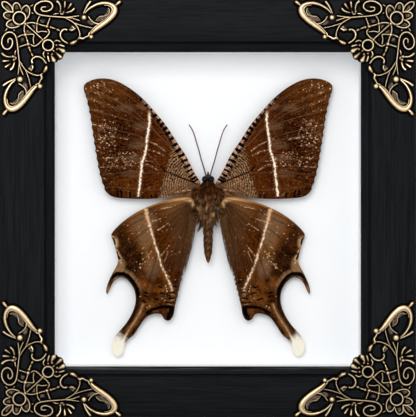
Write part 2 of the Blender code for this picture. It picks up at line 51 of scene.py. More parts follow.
# The frame's sizes, read from its solids
FACE_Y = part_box("frame_rail_left")[0].y
FRAME_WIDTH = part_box("frame_rail_right")[1].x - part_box("frame_rail_left")[0].x
FRAME_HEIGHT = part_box("frame_rail_top")[1].z
CORNER_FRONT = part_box("corner_ornament_top_left")[0].y
BOARD_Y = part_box("mount_board")[0].y
SEAT_GAP = 0.3 * MM
CAST_HIGHEST = FACE_Y - SEAT_GAP - CORNER_FRONT

# The photograph's scale at the frame's face, and how far off it was taken
FRAME_WIDTH_PX = 417.4
FRAME_CENTRE_PX = (207.8, 209.3)
PHOTO_SIZE_PX = (416, 417)
VIEW_DISTANCE = 1.5


def photo_scale(y):
    """Metres to a pixel of the photograph for what lies at this y."""
    return FRAME_WIDTH / FRAME_WIDTH_PX * (1 + (y - FACE_Y) / VIEW_DISTANCE)


def from_photo(x_px, y_px, y):
    """(x, z) in metres of a point of the photograph that lies at this y."""
    scale = photo_scale(y)
    x = (x_px - FRAME_CENTRE_PX[0]) * scale
    z = FRAME_HEIGHT / 2 - (y_px - FRAME_CENTRE_PX[1]) * scale
    return x, z


def link(obj):
    bpy.context.scene.collection.objects.link(obj)
    return obj


def finished(name, bm, finish, nodes=(), smooth=True):
    """The bmesh as a piece of the object, in its place and riding on the frame."""
    mesh = bpy.data.meshes.new(name)
    bm.to_mesh(mesh)
    bm.free()
    return dressed(name, mesh, finish, nodes, smooth)


def dressed(name, mesh, finish, nodes=(), smooth=True):
    for shade in finish if isinstance(finish, (list, tuple)) else [finish]:
        mesh.materials.append(shade)
    if smooth:
        mesh.shade_smooth()
        mesh.set_sharp_from_angle(angle=math.radians(40))
    obj = link(bpy.data.objects.new(name, mesh))
    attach(obj, "root")
    if nodes:
        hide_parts(*nodes)
    return obj


def linear(r, g, b):
    """A colour given as 0 to 255, in the shader's linear numbers."""
    shares = (r / 255, g / 255, b / 255)
    return tuple(c / 12.92 if c <= 0.04045 else ((c + 0.055) / 1.055) ** 2.4 for c in shares)


class Finish:
    """A material's nodes, added one at a time. A value may be a number, a colour or another node's output."""

    def __init__(self, name, roughness=0.6, metallic=0.0, **inputs):
        self.material = bpy.data.materials.new(name)
        self.material.use_nodes = True
        self.nodes = self.material.node_tree.nodes
        self.links = self.material.node_tree.links
        self.shader = self.nodes["Principled BSDF"]
        self.ground = None
        self.set(self.shader, "Roughness", roughness)
        self.set(self.shader, "Metallic", metallic)
        for label, value in inputs.items():
            self.set(self.shader, label.replace("_", " "), value)

    def set(self, node, socket, value):
        if isinstance(value, bpy.types.NodeSocket):
            self.links.new(value, node.inputs[socket])
        elif isinstance(value, tuple) and len(value) == 3 and node.inputs[socket].type == "RGBA":
            node.inputs[socket].default_value = (*value, 1.0)
        else:
            node.inputs[socket].default_value = value

    def place(self, scale=(1, 1, 1)):
        """Object coordinates in millimetres, stretched by scale."""
        coordinates = self.nodes.new("ShaderNodeTexCoord")
        mapping = self.nodes.new("ShaderNodeMapping")
        mapping.inputs["Scale"].default_value = [1000 * s for s in scale]
        self.links.new(coordinates.outputs["Object"], mapping.inputs["Vector"])
        return mapping.outputs["Vector"]

    def value(self, name):
        """A number kept on the mesh's points."""
        node = self.nodes.new("ShaderNodeAttribute")
        node.attribute_name = name
        return node.outputs["Fac"]

    def math(self, operation, a, b=0.0, c=0.0):
        node = self.nodes.new("ShaderNodeMath")
        node.operation = operation
        for index, value in enumerate((a, b, c)):
            self.set(node, index, value)
        return node.outputs[0]

    def times(self, a, b):
        return self.math("MULTIPLY", a, b)

    def plus(self, a, b):
        return self.math("ADD", a, b)

    def step(self, value, low, high):
        """0 below low, 1 above high, smooth between them. low may be above high."""
        node = self.nodes.new("ShaderNodeMapRange")
        node.interpolation_type = "SMOOTHSTEP"
        flip = low > high
        self.set(node, "Value", value)
        self.set(node, "From Min", high if flip else low)
        self.set(node, "From Max", low if flip else high)
        self.set(node, "To Min", 1.0 if flip else 0.0)
        self.set(node, "To Max", 0.0 if flip else 1.0)
        return node.outputs["Result"]

    def vector(self, x, y, z=0.0):
        node = self.nodes.new("ShaderNodeCombineXYZ")
        for index, value in enumerate((x, y, z)):
            self.set(node, index, value)
        return node.outputs[0]

    def noise(self, where, scale, detail=2.0, roughness=0.5, distortion=0.0):
        node = self.nodes.new("ShaderNodeTexNoise")
        for label, value in (("Vector", where), ("Scale", scale), ("Detail", detail),
                             ("Roughness", roughness), ("Distortion", distortion)):
            self.set(node, label, value)
        return node.outputs["Fac"]

    def cells(self, where, scale):
        """(distance to the nearest cell's middle, a random number of that cell)"""
        node = self.nodes.new("ShaderNodeTexVoronoi")
        self.set(node, "Vector", where)
        self.set(node, "Scale", scale)
        split = self.nodes.new("ShaderNodeSeparateColor")
        self.links.new(node.outputs["Color"], split.inputs[0])
        return node.outputs["Distance"], split.outputs[0]

    def mix(self, share, a, b, blend="MIX"):
        node = self.nodes.new("ShaderNodeMix")
        node.data_type = "RGBA"
        node.blend_type = blend
        self.set(node, 0, share)
        self.set(node, 6, a)
        self.set(node, 7, b)
        return node.outputs[2]

    def ramp(self, value, low, high, stops):
        """A run of colours: stops are (value, colour) between low and high."""
        node = self.nodes.new("ShaderNodeValToRGB")
        elements = node.color_ramp.elements
        while len(elements) < len(stops):
            elements.new(1.0)
        for element, (at, colour) in zip(elements, stops):
            element.position = (at - low) / (high - low)
            element.color = (*colour, 1.0)
        self.set(node, 0, self.math("DIVIDE", self.math("SUBTRACT", value, low), high - low))
        return node.outputs["Color"]

    def lay(self, colour, share, strength=None):
        """Lays a colour, three numbers from 0 to 255 or another node's output, over the ground colour."""
        if strength is not None:
            share = self.times(share, strength)
        top = linear(*colour) if isinstance(colour, tuple) else colour
        self.ground = self.mix(share, self.ground, top)

    def bump(self, height, depth, strength=1.0):
        """Relief of this depth in metres."""
        node = self.nodes.new("ShaderNodeBump")
        self.set(node, "Height", height)
        node.inputs["Distance"].default_value = depth
        node.inputs["Strength"].default_value = strength
        self.links.new(node.outputs["Normal"], self.shader.inputs["Normal"])

    def front_facing(self):
        """How squarely the surface faces the front of the frame, from -1 to 1."""
        geometry = self.nodes.new("ShaderNodeNewGeometry")
        split = self.nodes.new("ShaderNodeSeparateXYZ")
        self.links.new(geometry.outputs["Normal"], split.inputs[0])
        return self.times(split.outputs["Y"], -1.0)

    def done(self, colour=None, roughness=None):
        if colour is not None:
            self.set(self.shader, "Base Color", colour)
        if roughness is not None:
            self.set(self.shader, "Roughness", roughness)
        return self.material


def tubes(splines, thick, round_steps, run_steps):
    """A mesh of round tubes along smooth curves, each given as (its points with their radii, closed or not)."""
    curve = bpy.data.curves.new("tubes", "CURVE")
    curve.dimensions = "3D"
    curve.bevel_depth = thick
    curve.bevel_resolution = round_steps
    curve.resolution_u = run_steps
    curve.use_fill_caps = True
    for knots, closed in splines:
        spline = curve.splines.new("BEZIER")
        spline.bezier_points.add(len(knots) - 1)
        spline.use_cyclic_u = closed
        for knot, (place, radius) in zip(spline.bezier_points, knots):
            knot.co = place
            knot.radius = radius
            knot.handle_left_type = knot.handle_right_type = "AUTO"
    obj = link(bpy.data.objects.new("tubes", curve))
    bpy.context.view_layer.update()
    mesh = bpy.data.meshes.new_from_object(obj.evaluated_get(bpy.context.evaluated_depsgraph_get()))
    bpy.data.objects.remove(obj)
    return mesh


# The wooden frame

MOULDING_MM = [
    (0.0, 0.0), (22.0, 0.0), (22.0, 3.8), (23.1, 3.8), (23.1, 2.4), (26.8, 4.4), (26.8, 6.5), (21.5, 6.5),
    (21.5, 35.0), (0.0, 35.0),
]
EDGE_ROUNDS_MM = {0: 0.55, 1: 0.35, 4: 0.35, 5: 0.5, 9: 0.4}
SCARF_GAP = 0.01 * MM
LIP_INSET = 25.9 * MM
LIP_DEPTH = 5.2 * MM
# Painted highlight: how much lighter each rail's lip is painted, most on the bottom lip that faces up to the
# light, none on the top lip
LIP_PAINTED_LIGHT = {"top": 0.0, "bottom": 1.0, "left": 0.25, "right": 0.4}
ARRIS_INSET = 0.5 * MM
ARRIS_DEPTH = 0.35 * MM
ARRIS_WEAR = 0.4


def stained_wood(name, along_x):
    """Open-grained wood under a black stain, its grain along X or along Z, rubbed grey on its arrises and with
    a painted highlight on its lips.
    """
    wood = Finish(name, roughness=0.5, Specular_IOR_Level=0.08)
    grain = wood.place((0.035, 1.0, 1.3) if along_x else (1.3, 1.0, 0.035))
    broad = wood.noise(wood.place((0.02, 0.2, 0.2) if along_x else (0.2, 0.2, 0.02)), 1.0, 3.0)
    fine = wood.noise(grain, 0.9, 5.0, 0.7)
    pores = wood.step(wood.noise(grain, 2.2, 2.0), 0.58, 0.7)
    black = wood.mix(wood.step(fine, 0.36, 0.66), linear(3, 4, 5), linear(20, 22, 25))
    black = wood.mix(wood.times(wood.step(broad, 0.45, 0.7), 0.5), black, linear(21, 23, 27))
    black = wood.mix(wood.times(pores, 0.7), black, linear(2, 2, 3))
    # Rubbed grey: real wear on the outer arris, and a painted highlight on the lips, strongest on the bottom
    # lip
    wear_and_lip_light = wood.times(wood.step(wood.value("wear_and_lip_light"), 0.25, 1.0),
                      wood.step(wood.noise(grain, 0.8, 4.0), 0.42, 0.68))
    colour = wood.mix(wood.times(wear_and_lip_light, 0.85), black, linear(82, 81, 80))
    wood.bump(wood.math("SUBTRACT", fine, wood.times(pores, 0.8)), 0.05 * MM, 0.7)
    return wood.done(colour, wood.plus(0.36, wood.times(fine, 0.3)))


def frame_rail(side, across, up, finish):
    """One mitred rail of the moulding. across and up are the unit steps from the middle to its side."""
    half = Vector((FRAME_WIDTH / 2, 0, FRAME_HEIGHT / 2))
    outward, along = Vector((across, 0, up)), Vector((abs(up), 0, abs(across)))
    centre = Vector((0, 0, FRAME_HEIGHT / 2))
    reach, length = abs(half.dot(outward)), half.dot(along)
    bm = bmesh.new()
    rings = []
    for end in (-1, 1):
        ring = []
        for inset, depth in MOULDING_MM:
            place = centre + outward * (reach - inset * MM) + along * end * (length - inset * MM - SCARF_GAP)
            ring.append(bm.verts.new((place.x, FACE_Y + depth * MM, place.z)))
        rings.append(ring)
    caps = [bm.faces.new(ring) for ring in rings]
    bmesh.ops.bridge_loops(bm, edges=[edge for cap in caps for edge in cap.edges])
    bmesh.ops.recalc_face_normals(bm, faces=bm.faces)
    for corner, radius in EDGE_ROUNDS_MM.items():
        start, end = rings[0][corner], rings[1][corner]
        edge = next(e for e in start.link_edges if e.other_vert(start) is end)
        made = bmesh.ops.bevel(bm, geom=[edge], offset=radius * MM, segments=4, profile=0.5, affect="EDGES",
                               material=-1)
        assert made["faces"]
    # Real wear on the arris, painted highlight on the lip
    wear_and_lip_light_layer = bm.verts.layers.float.new("wear_and_lip_light")
    for vert in bm.verts:
        inset = reach - abs((vert.co - centre).dot(outward))
        depth = vert.co.y - FACE_Y
        on_lip = depth < LIP_DEPTH and inset > LIP_INSET
        on_arris = depth < ARRIS_DEPTH and inset < ARRIS_INSET
        vert[wear_and_lip_light_layer] = LIP_PAINTED_LIGHT[side] if on_lip else ARRIS_WEAR if on_arris else 0.0
    finished(f"{side}_rail", bm, finish, [f"frame_rail_{side}"])


def make_frame():
    level = stained_wood("black_stain_level_grain", True)
    upright = stained_wood("black_stain_upright_grain", False)
    frame_rail("top", 0, 1, level)
    frame_rail("bottom", 0, -1, level)
    frame_rail("left", -1, 0, upright)
    frame_rail("right", 1, 0, upright)


# The board, the spacers and the glass

def make_infill():
    board = Finish("cool_white_board", roughness=0.75)
    fibre = board.noise(board.place(), 3.0, 4.0, 0.6)
    board.bump(fibre, 0.02 * MM, 0.5)
    white = board.mix(board.noise(board.place(), 0.03, 2.0), linear(252, 253, 254), linear(249, 251, 253))
    assign("mount_board", board.done(white))
    foam = Finish("white_foam_core", roughness=0.8)
    pits = foam.noise(foam.place(), 4.0, 3.0, 0.6)
    foam.bump(pits, 0.05 * MM, 0.6)
    strip = foam.done(foam.mix(pits, linear(240, 242, 243), linear(251, 252, 253)))
    for side in ("left", "right", "top", "bottom"):
        assign(f"spacer_{side}", strip)
    glass = Finish("picture_glass", roughness=0.03, metallic=1.0, Alpha=0.0012)
    assign("glass_pane", glass.done(linear(236, 246, 244)))


def assign(node, finish):
    cad[node].data.materials.clear()
    cad[node].data.materials.append(finish)


# The brass corners

# Strands of one arm as (x, y, half width) in pixels from the photograph's top left corner
ARM_STRANDS = {
    "tip_leaf_edge": [(2.2, 2.2, 0.85), (5.4, 2.0, 0.9), (9.1, 4.1, 0.9), (12.1, 7.7, 0.85),
                      (13.2, 12.0, 0.8)],
    "near_petal_edge": [(13.3, 12.2, 0.8), (13.0, 8.4, 0.8), (13.5, 5.2, 0.9), (14.9, 3.6, 0.95),
                        (16.8, 3.0, 0.95), (18.9, 4.2, 0.9), (20.4, 6.6, 0.8), (20.9, 8.8, 0.6)],
    "far_petal_edge": [(21.3, 10.8, 0.7), (22.7, 8.1, 0.85), (24.7, 6.3, 0.95), (26.8, 5.7, 1.0),
                       (28.7, 7.1, 0.95), (29.8, 9.8, 0.9), (29.6, 13.6, 0.85), (28.4, 17.0, 0.8),
                       (26.6, 19.2, 0.75)],
    "small_bract": [(30.6, 6.4, 0.5), (33.0, 4.8, 0.6)],
    "small_bract_2": [(32.0, 12.6, 0.5), (33.2, 13.6, 0.5)],
    "spiral": [(45.9, 7.3, 0.8), (43.1, 7.2, 0.85), (41.3, 8.5, 0.85), (42.0, 10.4, 0.9), (44.7, 11.5, 0.9),
               (48.0, 11.1, 0.95), (51.2, 9.4, 1.0), (52.7, 6.6, 1.05), (51.4, 3.4, 1.05), (47.8, 1.5, 1.0),
               (43.5, 1.3, 1.0), (39.1, 2.7, 1.0), (35.5, 5.8, 1.0), (34.7, 9.6, 1.0), (36.6, 13.0, 0.95),
               (39.9, 14.8, 0.9), (44.7, 15.8, 0.85), (55.8, 16.8, 0.8), (66.2, 17.6, 0.8)],
    "upper_stem": [(65.4, 17.5, 0.7), (73.4, 16.7, 0.65), (79.0, 15.8, 0.6)],
    "lower_stem": [(66.5, 17.7, 0.65), (71.4, 18.0, 0.65), (75.0, 19.1, 0.65), (79.6, 20.8, 0.6)],
    "curling_stem": [(65.6, 18.2, 0.55), (71.8, 21.5, 0.65), (75.8, 24.8, 0.7), (78.6, 29.5, 0.75),
                     (80.0, 34.3, 0.75), (79.4, 38.2, 0.8)],
    "twig": [(74.6, 23.2, 0.5), (80.5, 25.2, 0.6), (86.1, 26.8, 0.6), (92.4, 28.0, 0.5)],
    "fan_ray_1": [(57.0, 1.2, 1.5), (59.2, 3.4, 1.35), (60.6, 7.0, 1.0), (60.6, 10.4, 0.7)],
    "fan_ray_2": [(65.2, 2.0, 1.5), (65.0, 4.6, 1.3), (64.6, 8.0, 0.7)],
    "fan_ray_3": [(71.4, 3.9, 1.6), (70.0, 6.0, 1.3), (67.8, 8.9, 0.6)],
    "fan_ray_4": [(74.3, 8.7, 1.5), (71.9, 11.0, 1.3), (66.0, 12.9, 0.7)],
    "fan_leaf": [(53.2, 15.0, 0.5), (55.8, 13.9, 0.9), (59.0, 13.6, 0.5)],
    "fan_foot": [(60.4, 12.3, 0.6), (62.0, 14.6, 0.6), (63.6, 12.6, 0.6)],
    "rod": [(90.6, 1.6, 1.5), (87.7, 5.4, 1.35), (85.7, 9.0, 1.1), (83.6, 13.6, 0.8)],
    "loop_band": [(84.8, 13.2, 0.9), (88.4, 9.6, 1.25), (92.4, 6.8, 1.45), (99.7, 3.8, 1.7),
                  (106.1, 3.3, 1.8), (111.8, 5.0, 1.9), (115.0, 8.6, 2.3), (114.2, 13.2, 2.5),
                  (109.4, 19.2, 2.3), (102.6, 24.6, 2.2), (95.0, 30.2, 1.9), (91.0, 34.0, 1.4)],
    "loop_inner_ridge": [(104.6, 5.2, 0.5), (109.4, 6.0, 0.8), (112.2, 8.8, 0.95), (111.6, 12.8, 0.95),
                         (107.2, 18.2, 0.9), (101.0, 22.8, 0.8), (94.6, 27.6, 0.8), (90.6, 32.2, 0.8)],
    "flame_edge": [(108.6, 8.0, 0.3), (109.6, 11.4, 0.45), (107.6, 14.8, 0.5), (103.6, 16.2, 0.5),
                   (99.8, 16.8, 0.6), (97.2, 19.0, 0.45), (95.8, 21.0, 0.3)],
    "loop_lower_edge": [(88.6, 16.6, 0.7), (91.4, 20.6, 0.75), (95.6, 23.4, 0.8), (101.6, 23.8, 0.7)],
    "loop_curl": [(90.2, 32.6, 0.9), (88.8, 35.0, 1.0), (90.2, 37.4, 1.0)],
    "finial": [(115.6, 5.6, 1.2), (117.8, 3.6, 1.7), (120.4, 1.7, 1.7)],
    "c_scroll": [(67.2, 30.0, 1.3), (64.4, 29.6, 1.05), (61.4, 31.8, 1.1), (60.5, 35.6, 1.15),
                 (62.4, 39.7, 1.0), (67.6, 43.3, 0.85)],
    "c_bead": [(70.6, 43.6, 1.5), (73.6, 42.7, 2.0), (77.0, 40.4, 1.1)],
    "link": [(77.8, 39.6, 0.9), (79.6, 38.0, 1.5), (82.6, 38.7, 1.4), (86.0, 37.0, 1.0), (88.6, 36.0, 0.9)],
    "bud": [(69.2, 29.6, 0.9), (72.0, 30.2, 1.3), (75.4, 28.4, 0.9)],
    "bud_prong": [(73.8, 28.4, 0.8), (72.6, 26.2, 0.6)],
    "net_long_1": [(25.4, 23.8, 0.8), (31.9, 22.7, 0.75), (37.3, 23.8, 0.85)],
    "net_long_2": [(37.3, 23.8, 0.8), (42.3, 25.4, 0.7), (47.2, 26.5, 0.9)],
    "net_long_3": [(49.8, 27.2, 0.8), (54.4, 28.4, 0.85), (56.2, 29.2, 0.5)],
    "net_long_4": [(56.8, 29.4, 0.7), (59.6, 30.7, 0.8)],
    "net_up_1": [(37.3, 23.4, 0.7), (37.9, 19.9, 0.65), (39.9, 16.6, 0.75)],
    "net_up_2": [(47.2, 26.2, 0.75), (48.6, 22.2, 0.65), (50.1, 18.2, 0.75)],
    "net_down": [(37.3, 24.2, 0.7), (36.9, 28.0, 0.65), (37.6, 31.9, 0.75), (41.5, 31.4, 0.65),
                 (47.2, 32.0, 0.65)],
    "net_hook": [(47.8, 29.2, 0.6), (49.4, 32.0, 0.75), (47.9, 35.4, 0.75), (43.1, 39.9, 0.85)],
}
MIDDLE_STRANDS = {
    "net_diagonal": [(26.9, 25.0, 0.7), (35.0, 32.4, 0.75), (43.2, 39.9, 0.9)],
    "shell_rib": [(52.4, 49.6, 0.5), (54.0, 51.2, 0.8), (54.8, 52.0, 0.5)],
    "shell_bulb": [(55.8, 52.6, 0.6), (58.4, 55.0, 1.5), (60.7, 57.0, 2.1)],
}
SHELL_STRANDS = {
    "leaf": [(54.0, 42.0, 0.5), (57.0, 40.5, 0.9), (60.6, 42.0, 0.7)],
    "bar": [(59.2, 45.0, 0.7), (61.8, 45.6, 0.95), (64.4, 46.5, 0.9)],
    "bulb": [(58.4, 48.4, 0.6), (61.0, 49.8, 1.5), (63.4, 51.1, 2.2)],
}
ARM_BEADS = [(84.1, 17.7, 3.2), (91.3, 36.9, 2.7), (60.4, 11.6, 1.6), (63.8, 12.4, 1.4), (37.3, 23.8, 2.0),
             (47.2, 26.5, 2.0), (51.0, 27.4, 1.5), (58.2, 30.0, 1.3)]
MIDDLE_BEADS = [(42.8, 39.9, 1.9), (19.8, 24.9, 1.5), (25.4, 24.0, 2.0), (60.9, 57.2, 2.2)]
SHELL_BEADS = [(56.5, 45.3, 1.05), (57.2, 49.3, 1.2), (63.6, 51.2, 2.3)]
RINGS = [(19.5, 18.2, 6.25, 0.95), (48.2, 45.3, 5.3, 0.9)]
ARM_INSERTS = {
    "near_petal": [(15.4, 9.6), (15.2, 6.4), (16.4, 4.8), (18.2, 6.4), (18.6, 9.2), (17.0, 9.0)],
    "far_petal": [(24.6, 11.0), (25.8, 8.0), (27.6, 7.6), (28.2, 10.0), (27.4, 13.6), (26.4, 11.6)],
    "flame": [(108.2, 7.6), (110.2, 9.8), (110.2, 14.4), (107.0, 18.8), (101.6, 21.6), (95.6, 21.2),
              (97.4, 18.2), (99.6, 16.4), (103.4, 15.7), (106.3, 13.2), (107.6, 10.8)],
    "shell_cup": [(87.4, 21.2), (90.0, 20.4), (95.4, 24.4), (91.7, 25.0), (88.6, 23.8)],
    "lattice_corner": [(40.6, 19.6), (44.6, 20.2), (43.4, 23.0), (40.6, 22.0)],
    "lattice_corner_2": [(32.0, 25.0), (35.2, 25.2), (35.0, 29.4)],
    "bud_cup": [(69.4, 28.8), (72.2, 29.2), (75.0, 28.0), (74.0, 26.2), (72.4, 25.8)],
}
TIP_INSERT = [(5.4, 5.0), (7.4, 5.6), (10.4, 9.6), (11.4, 11.4), (8.0, 9.6), (6.0, 7.4)]
SHELL_BACK = [(44.0, 52.0), (52.0, 43.8), (60.4, 42.4), (64.8, 44.2), (65.4, 47.6), (64.6, 49.2),
              (65.8, 51.6), (64.4, 54.0), (62.4, 55.0), (62.8, 57.6), (61.2, 59.8), (58.6, 59.8),
              (57.2, 62.0), (54.4, 62.8), (52.0, 61.4), (50.0, 62.4), (47.2, 61.2), (43.4, 57.6)]
OTHER_ARM_REACH = 0.925
OTHER_ARM_DRIFT = 0.00022
OTHER_ARM_SPREAD = 1.04
OTHER_ARM_SHIFT_PX = 0.7
OTHER_ARM_SHIFT_RUN_PX = 14.0
OTHER_ARM_SWING_START_PX = 50.0
OTHER_ARM_SWING_RUN_PX = 30.0
BEAD_STRETCH = 1.5
BEAD_SHINE = 0.7
STRAND_FULLNESS = 1.16
CAST_LIFT = 0.45 * MM
CAST_STRETCH = 1.5
INSERT_THICK = 0.5 * MM
# Painted contact shadow: how far the flat near-black copies of the strands spread past them, and how thick they
# are
SHADOW_SKIRT_SPREAD_PX = 1.8
SHADOW_SKIRT_HEIGHT = 0.2 * MM
CAST_INSET = 0.15 * MM


def on_other_arm(points):
    """The same points on the corner's upright arm, which is a little shorter and swings further in."""
    made = []
    for point in points:
        x, y = point[:2]
        swing = min(max((x - OTHER_ARM_SWING_START_PX) / OTHER_ARM_SWING_RUN_PX, 0.0), 1.0)
        shift = OTHER_ARM_SHIFT_PX * min(x / OTHER_ARM_SHIFT_RUN_PX, 1.0)
        reach = x * (OTHER_ARM_REACH + OTHER_ARM_DRIFT * x)
        made.append((y * OTHER_ARM_SPREAD + swing + shift, reach, *point[2:]))
    return made


def across_shell(points):
    """The same points on the other side of the shell's middle line."""
    x_ring, y_ring = RINGS[1][:2]
    return [(x_ring + p[1] - y_ring, y_ring + p[0] - x_ring, *p[2:]) for p in points]


def with_round_ends(points):
    """The strand with both ends drawn out to a blunt point."""
    made = [tuple(p) for p in points]
    for end, inner in ((0, 1), (-1, -2)):
        x, y, r = points[end]
        run = Vector((x - points[inner][0], y - points[inner][1])).normalized()
        tip = (x + run.x * r * 0.8, y + run.y * r * 0.8, r * 0.35)
        made = [tip, *made] if end == 0 else [*made, tip]
    return made


def strand_bodies(splines, spread):
    """The strands as tubes in pixels, each spread wider by the same amount, with the rings closed."""
    spread_out = []
    for points, closed in splines:
        spread_out.append(([((x, y, 0), r * STRAND_FULLNESS + spread) for x, y, r in points], closed))
    return tubes(spread_out, 1.0, 3, 5)


def corner_cast():
    """One corner's casting: x and y in pixels from the corner, z its height above the frame in metres."""
    strands = list(MIDDLE_STRANDS.values())
    for points in ARM_STRANDS.values():
        strands += [points, on_other_arm(points)]
    for points in SHELL_STRANDS.values():
        strands += [points, across_shell(points)]
    turns = np.arange(0, 2 * math.pi, math.pi / 4)
    splines = [(with_round_ends(strand), False) for strand in strands]
    for x, y, r, w in RINGS:
        splines.append(([(x + r * math.cos(a), y + r * math.sin(a), w) for a in turns], True))
    scale = photo_scale(FACE_Y)
    bm = bmesh.new()
    bm.from_mesh(strand_bodies(splines, 0.0))
    bmesh.ops.remove_doubles(bm, verts=bm.verts, dist=1e-4)
    bmesh.ops.scale(bm, vec=(1, 1, scale * CAST_STRETCH), verts=bm.verts)
    beads = MIDDLE_BEADS + ARM_BEADS + on_other_arm(ARM_BEADS) + SHELL_BEADS + across_shell(SHELL_BEADS)
    first_bead = len(bm.verts)
    for x, y, r in beads:
        made = bmesh.ops.create_uvsphere(bm, u_segments=18, v_segments=10, radius=r)
        tall = min(r * scale * BEAD_STRETCH, CAST_HIGHEST - CAST_LIFT)
        bmesh.ops.scale(bm, vec=(1, 1, tall / r), verts=made["verts"])
        bmesh.ops.translate(bm, vec=(x, y, 0), verts=made["verts"])
    bmesh.ops.translate(bm, vec=(0, 0, CAST_LIFT), verts=bm.verts)
    for vert in bm.verts:
        height = max(vert.co.z, 0.0)
        vert.co.z = height / (1 + (height / CAST_HIGHEST) ** 4) ** 0.25
    cast_faces, first_insert = len(bm.faces), len(bm.verts)
    inserts = [TIP_INSERT]
    for points in ARM_INSERTS.values():
        inserts += [points, on_other_arm(points)]
    for points in [*inserts, SHELL_BACK]:
        dark_faces = len(bm.faces)
        face = bm.faces.new([bm.verts.new((x, y, 0)) for x, y in points])
        grown = bmesh.ops.extrude_face_region(bm, geom=[face])
        top = [v for v in grown["geom"] if isinstance(v, bmesh.types.BMVert)]
        bmesh.ops.translate(bm, vec=(0, 0, INSERT_THICK), verts=top)
    # Painted contact shadow: flat, wider copies of the strands lying on the wood, given the near-black finish
    first_shadow_skirt = len(bm.verts)
    bm.from_mesh(strand_bodies(splines, SHADOW_SKIRT_SPREAD_PX))
    bm.verts.ensure_lookup_table()
    for vert in bm.verts[first_shadow_skirt:]:
        vert.co.z = SHADOW_SKIRT_HEIGHT * min(max(vert.co.z, 0.0), 1.0)
    bmesh.ops.recalc_face_normals(bm, faces=bm.faces)
    bm.faces.ensure_lookup_table()
    for face in bm.faces[cast_faces:]:
        face.material_index = 1
    for face in bm.faces[dark_faces:]:
        face.material_index = 2
    rise = bm.verts.layers.float.new("rise")
    for vert in bm.verts:
        vert[rise] = vert.co.z / CAST_HIGHEST
    bm.verts.ensure_lookup_table()
    # Painted highlight: the beads' rise is raised so that the brass colour paints them brighter
    for vert in bm.verts[first_bead:first_insert]:
        vert[rise] += BEAD_SHINE
    cast = bpy.data.meshes.new("corner_cast")
    bm.to_mesh(cast)
    bm.free()
    return cast


def antique_brass():
    brass = Finish("antique_brass", metallic=0.6)
    where = brass.place()
    tarnish = brass.noise(where, 0.9, 4.0, 0.6)
    grit = brass.noise(where, 7.0, 3.0, 0.6)
    # Painted highlight and shade: faces turned to the front are painted cream and the flanks dark brown; low
    # parts are also darker as patina in the hollows
    facing = brass.front_facing()
    ridge = brass.math("POWER", brass.math("MAXIMUM", facing, 0.0), 4.0)
    painted_shine_and_patina = brass.plus(brass.times(ridge, 0.66), brass.times(brass.value("rise"), 0.36))
    painted_shine_and_patina = brass.plus(painted_shine_and_patina, brass.times(brass.math("SUBTRACT", tarnish, 0.5), 0.4))
    gold = brass.ramp(painted_shine_and_patina, 0.0, 1.1, [
        (0.0, linear(6, 4, 2)), (0.2, linear(42, 28, 12)), (0.46, linear(106, 76, 36)),
        (0.68, linear(176, 138, 82)), (0.9, linear(236, 214, 176)),
    ])
    brass.bump(grit, 0.03 * MM, 0.5)
    return brass.done(gold, brass.plus(0.22, brass.times(tarnish, 0.2)))


def dark_patina():
    patina = Finish("dark_patina", metallic=0.3, Specular_IOR_Level=0.2)
    bloom = patina.noise(patina.place(), 1.1, 5.0, 0.65)
    colour = patina.mix(patina.step(bloom, 0.35, 0.62), linear(38, 32, 28), linear(112, 97, 84))
    patina.bump(bloom, 0.08 * MM, 0.6)
    return patina.done(colour, patina.plus(0.4, patina.times(bloom, 0.2)))


def blackened_brass_and_painted_shadow():
    # Near-black: the blackened back of the shell, and the painted contact shadow round the strands
    black = Finish("blackened_brass_and_painted_shadow", metallic=0.3, Specular_IOR_Level=0.03)
    dark_mottle = black.noise(black.place(), 1.6, 4.0, 0.6)
    black.bump(dark_mottle, 0.08 * MM, 0.6)
    return black.done(black.mix(black.step(dark_mottle, 0.4, 0.75), linear(1, 1, 1), linear(12, 9, 7)), 0.6)


def make_corners():
    cast = corner_cast()
    finishes = [antique_brass(), dark_patina(), blackened_brass_and_painted_shadow()]
    back_y = FACE_Y - SEAT_GAP
    widest = FRAME_WIDTH / 2 - CAST_INSET
    for across, side in ((-1, "left"), (1, "right")):
        for up, level in ((1, "top"), (-1, "bottom")):
            bm = bmesh.new()
            bm.from_mesh(cast)
            for vert in bm.verts:
                x_px = vert.co.x if across < 0 else PHOTO_SIZE_PX[0] - vert.co.x
                y_px = vert.co.y if up > 0 else PHOTO_SIZE_PX[1] - vert.co.y
                x, z = from_photo(x_px, y_px, FACE_Y)
                x = min(max(x, -widest), widest)
                z = min(max(z, CAST_INSET), FRAME_HEIGHT - CAST_INSET)
                vert.co = (x, back_y - vert.co.z, z)
            bmesh.ops.recalc_face_normals(bm, faces=bm.faces)
            finished(f"{level}_{side}_filigree", bm, finishes,
                     [f"corner_ornament_{level}_{side}"])


# The moth

# Heights above the board, and how much nearer to it the wing tips are
FOREWING_ROOT = 6.2 * MM
HINDWING_ROOT = 4.9 * MM
WING_DROOP = 0.032
WING_THICK = 0.12 * MM
BODY_HEIGHT = 5.2 * MM
BODY_TILT = 0.03
BODY_SQUASH = 0.66
BODY_SIDES = 28
ANTENNA_HEIGHT = 5.0 * MM
ANTENNA_RADIUS = 0.32 * MM
ANTENNA_TAPER = 0.16
WEB_PITCH_PX = 0.85
SCALLOP_PITCH_PX = 7.85
SCALLOP_START_PX = 1.9
SCALLOP_DEEP_PX = 1.0
SCALE_DEPTH = (0.6, 0.46, 0.3)

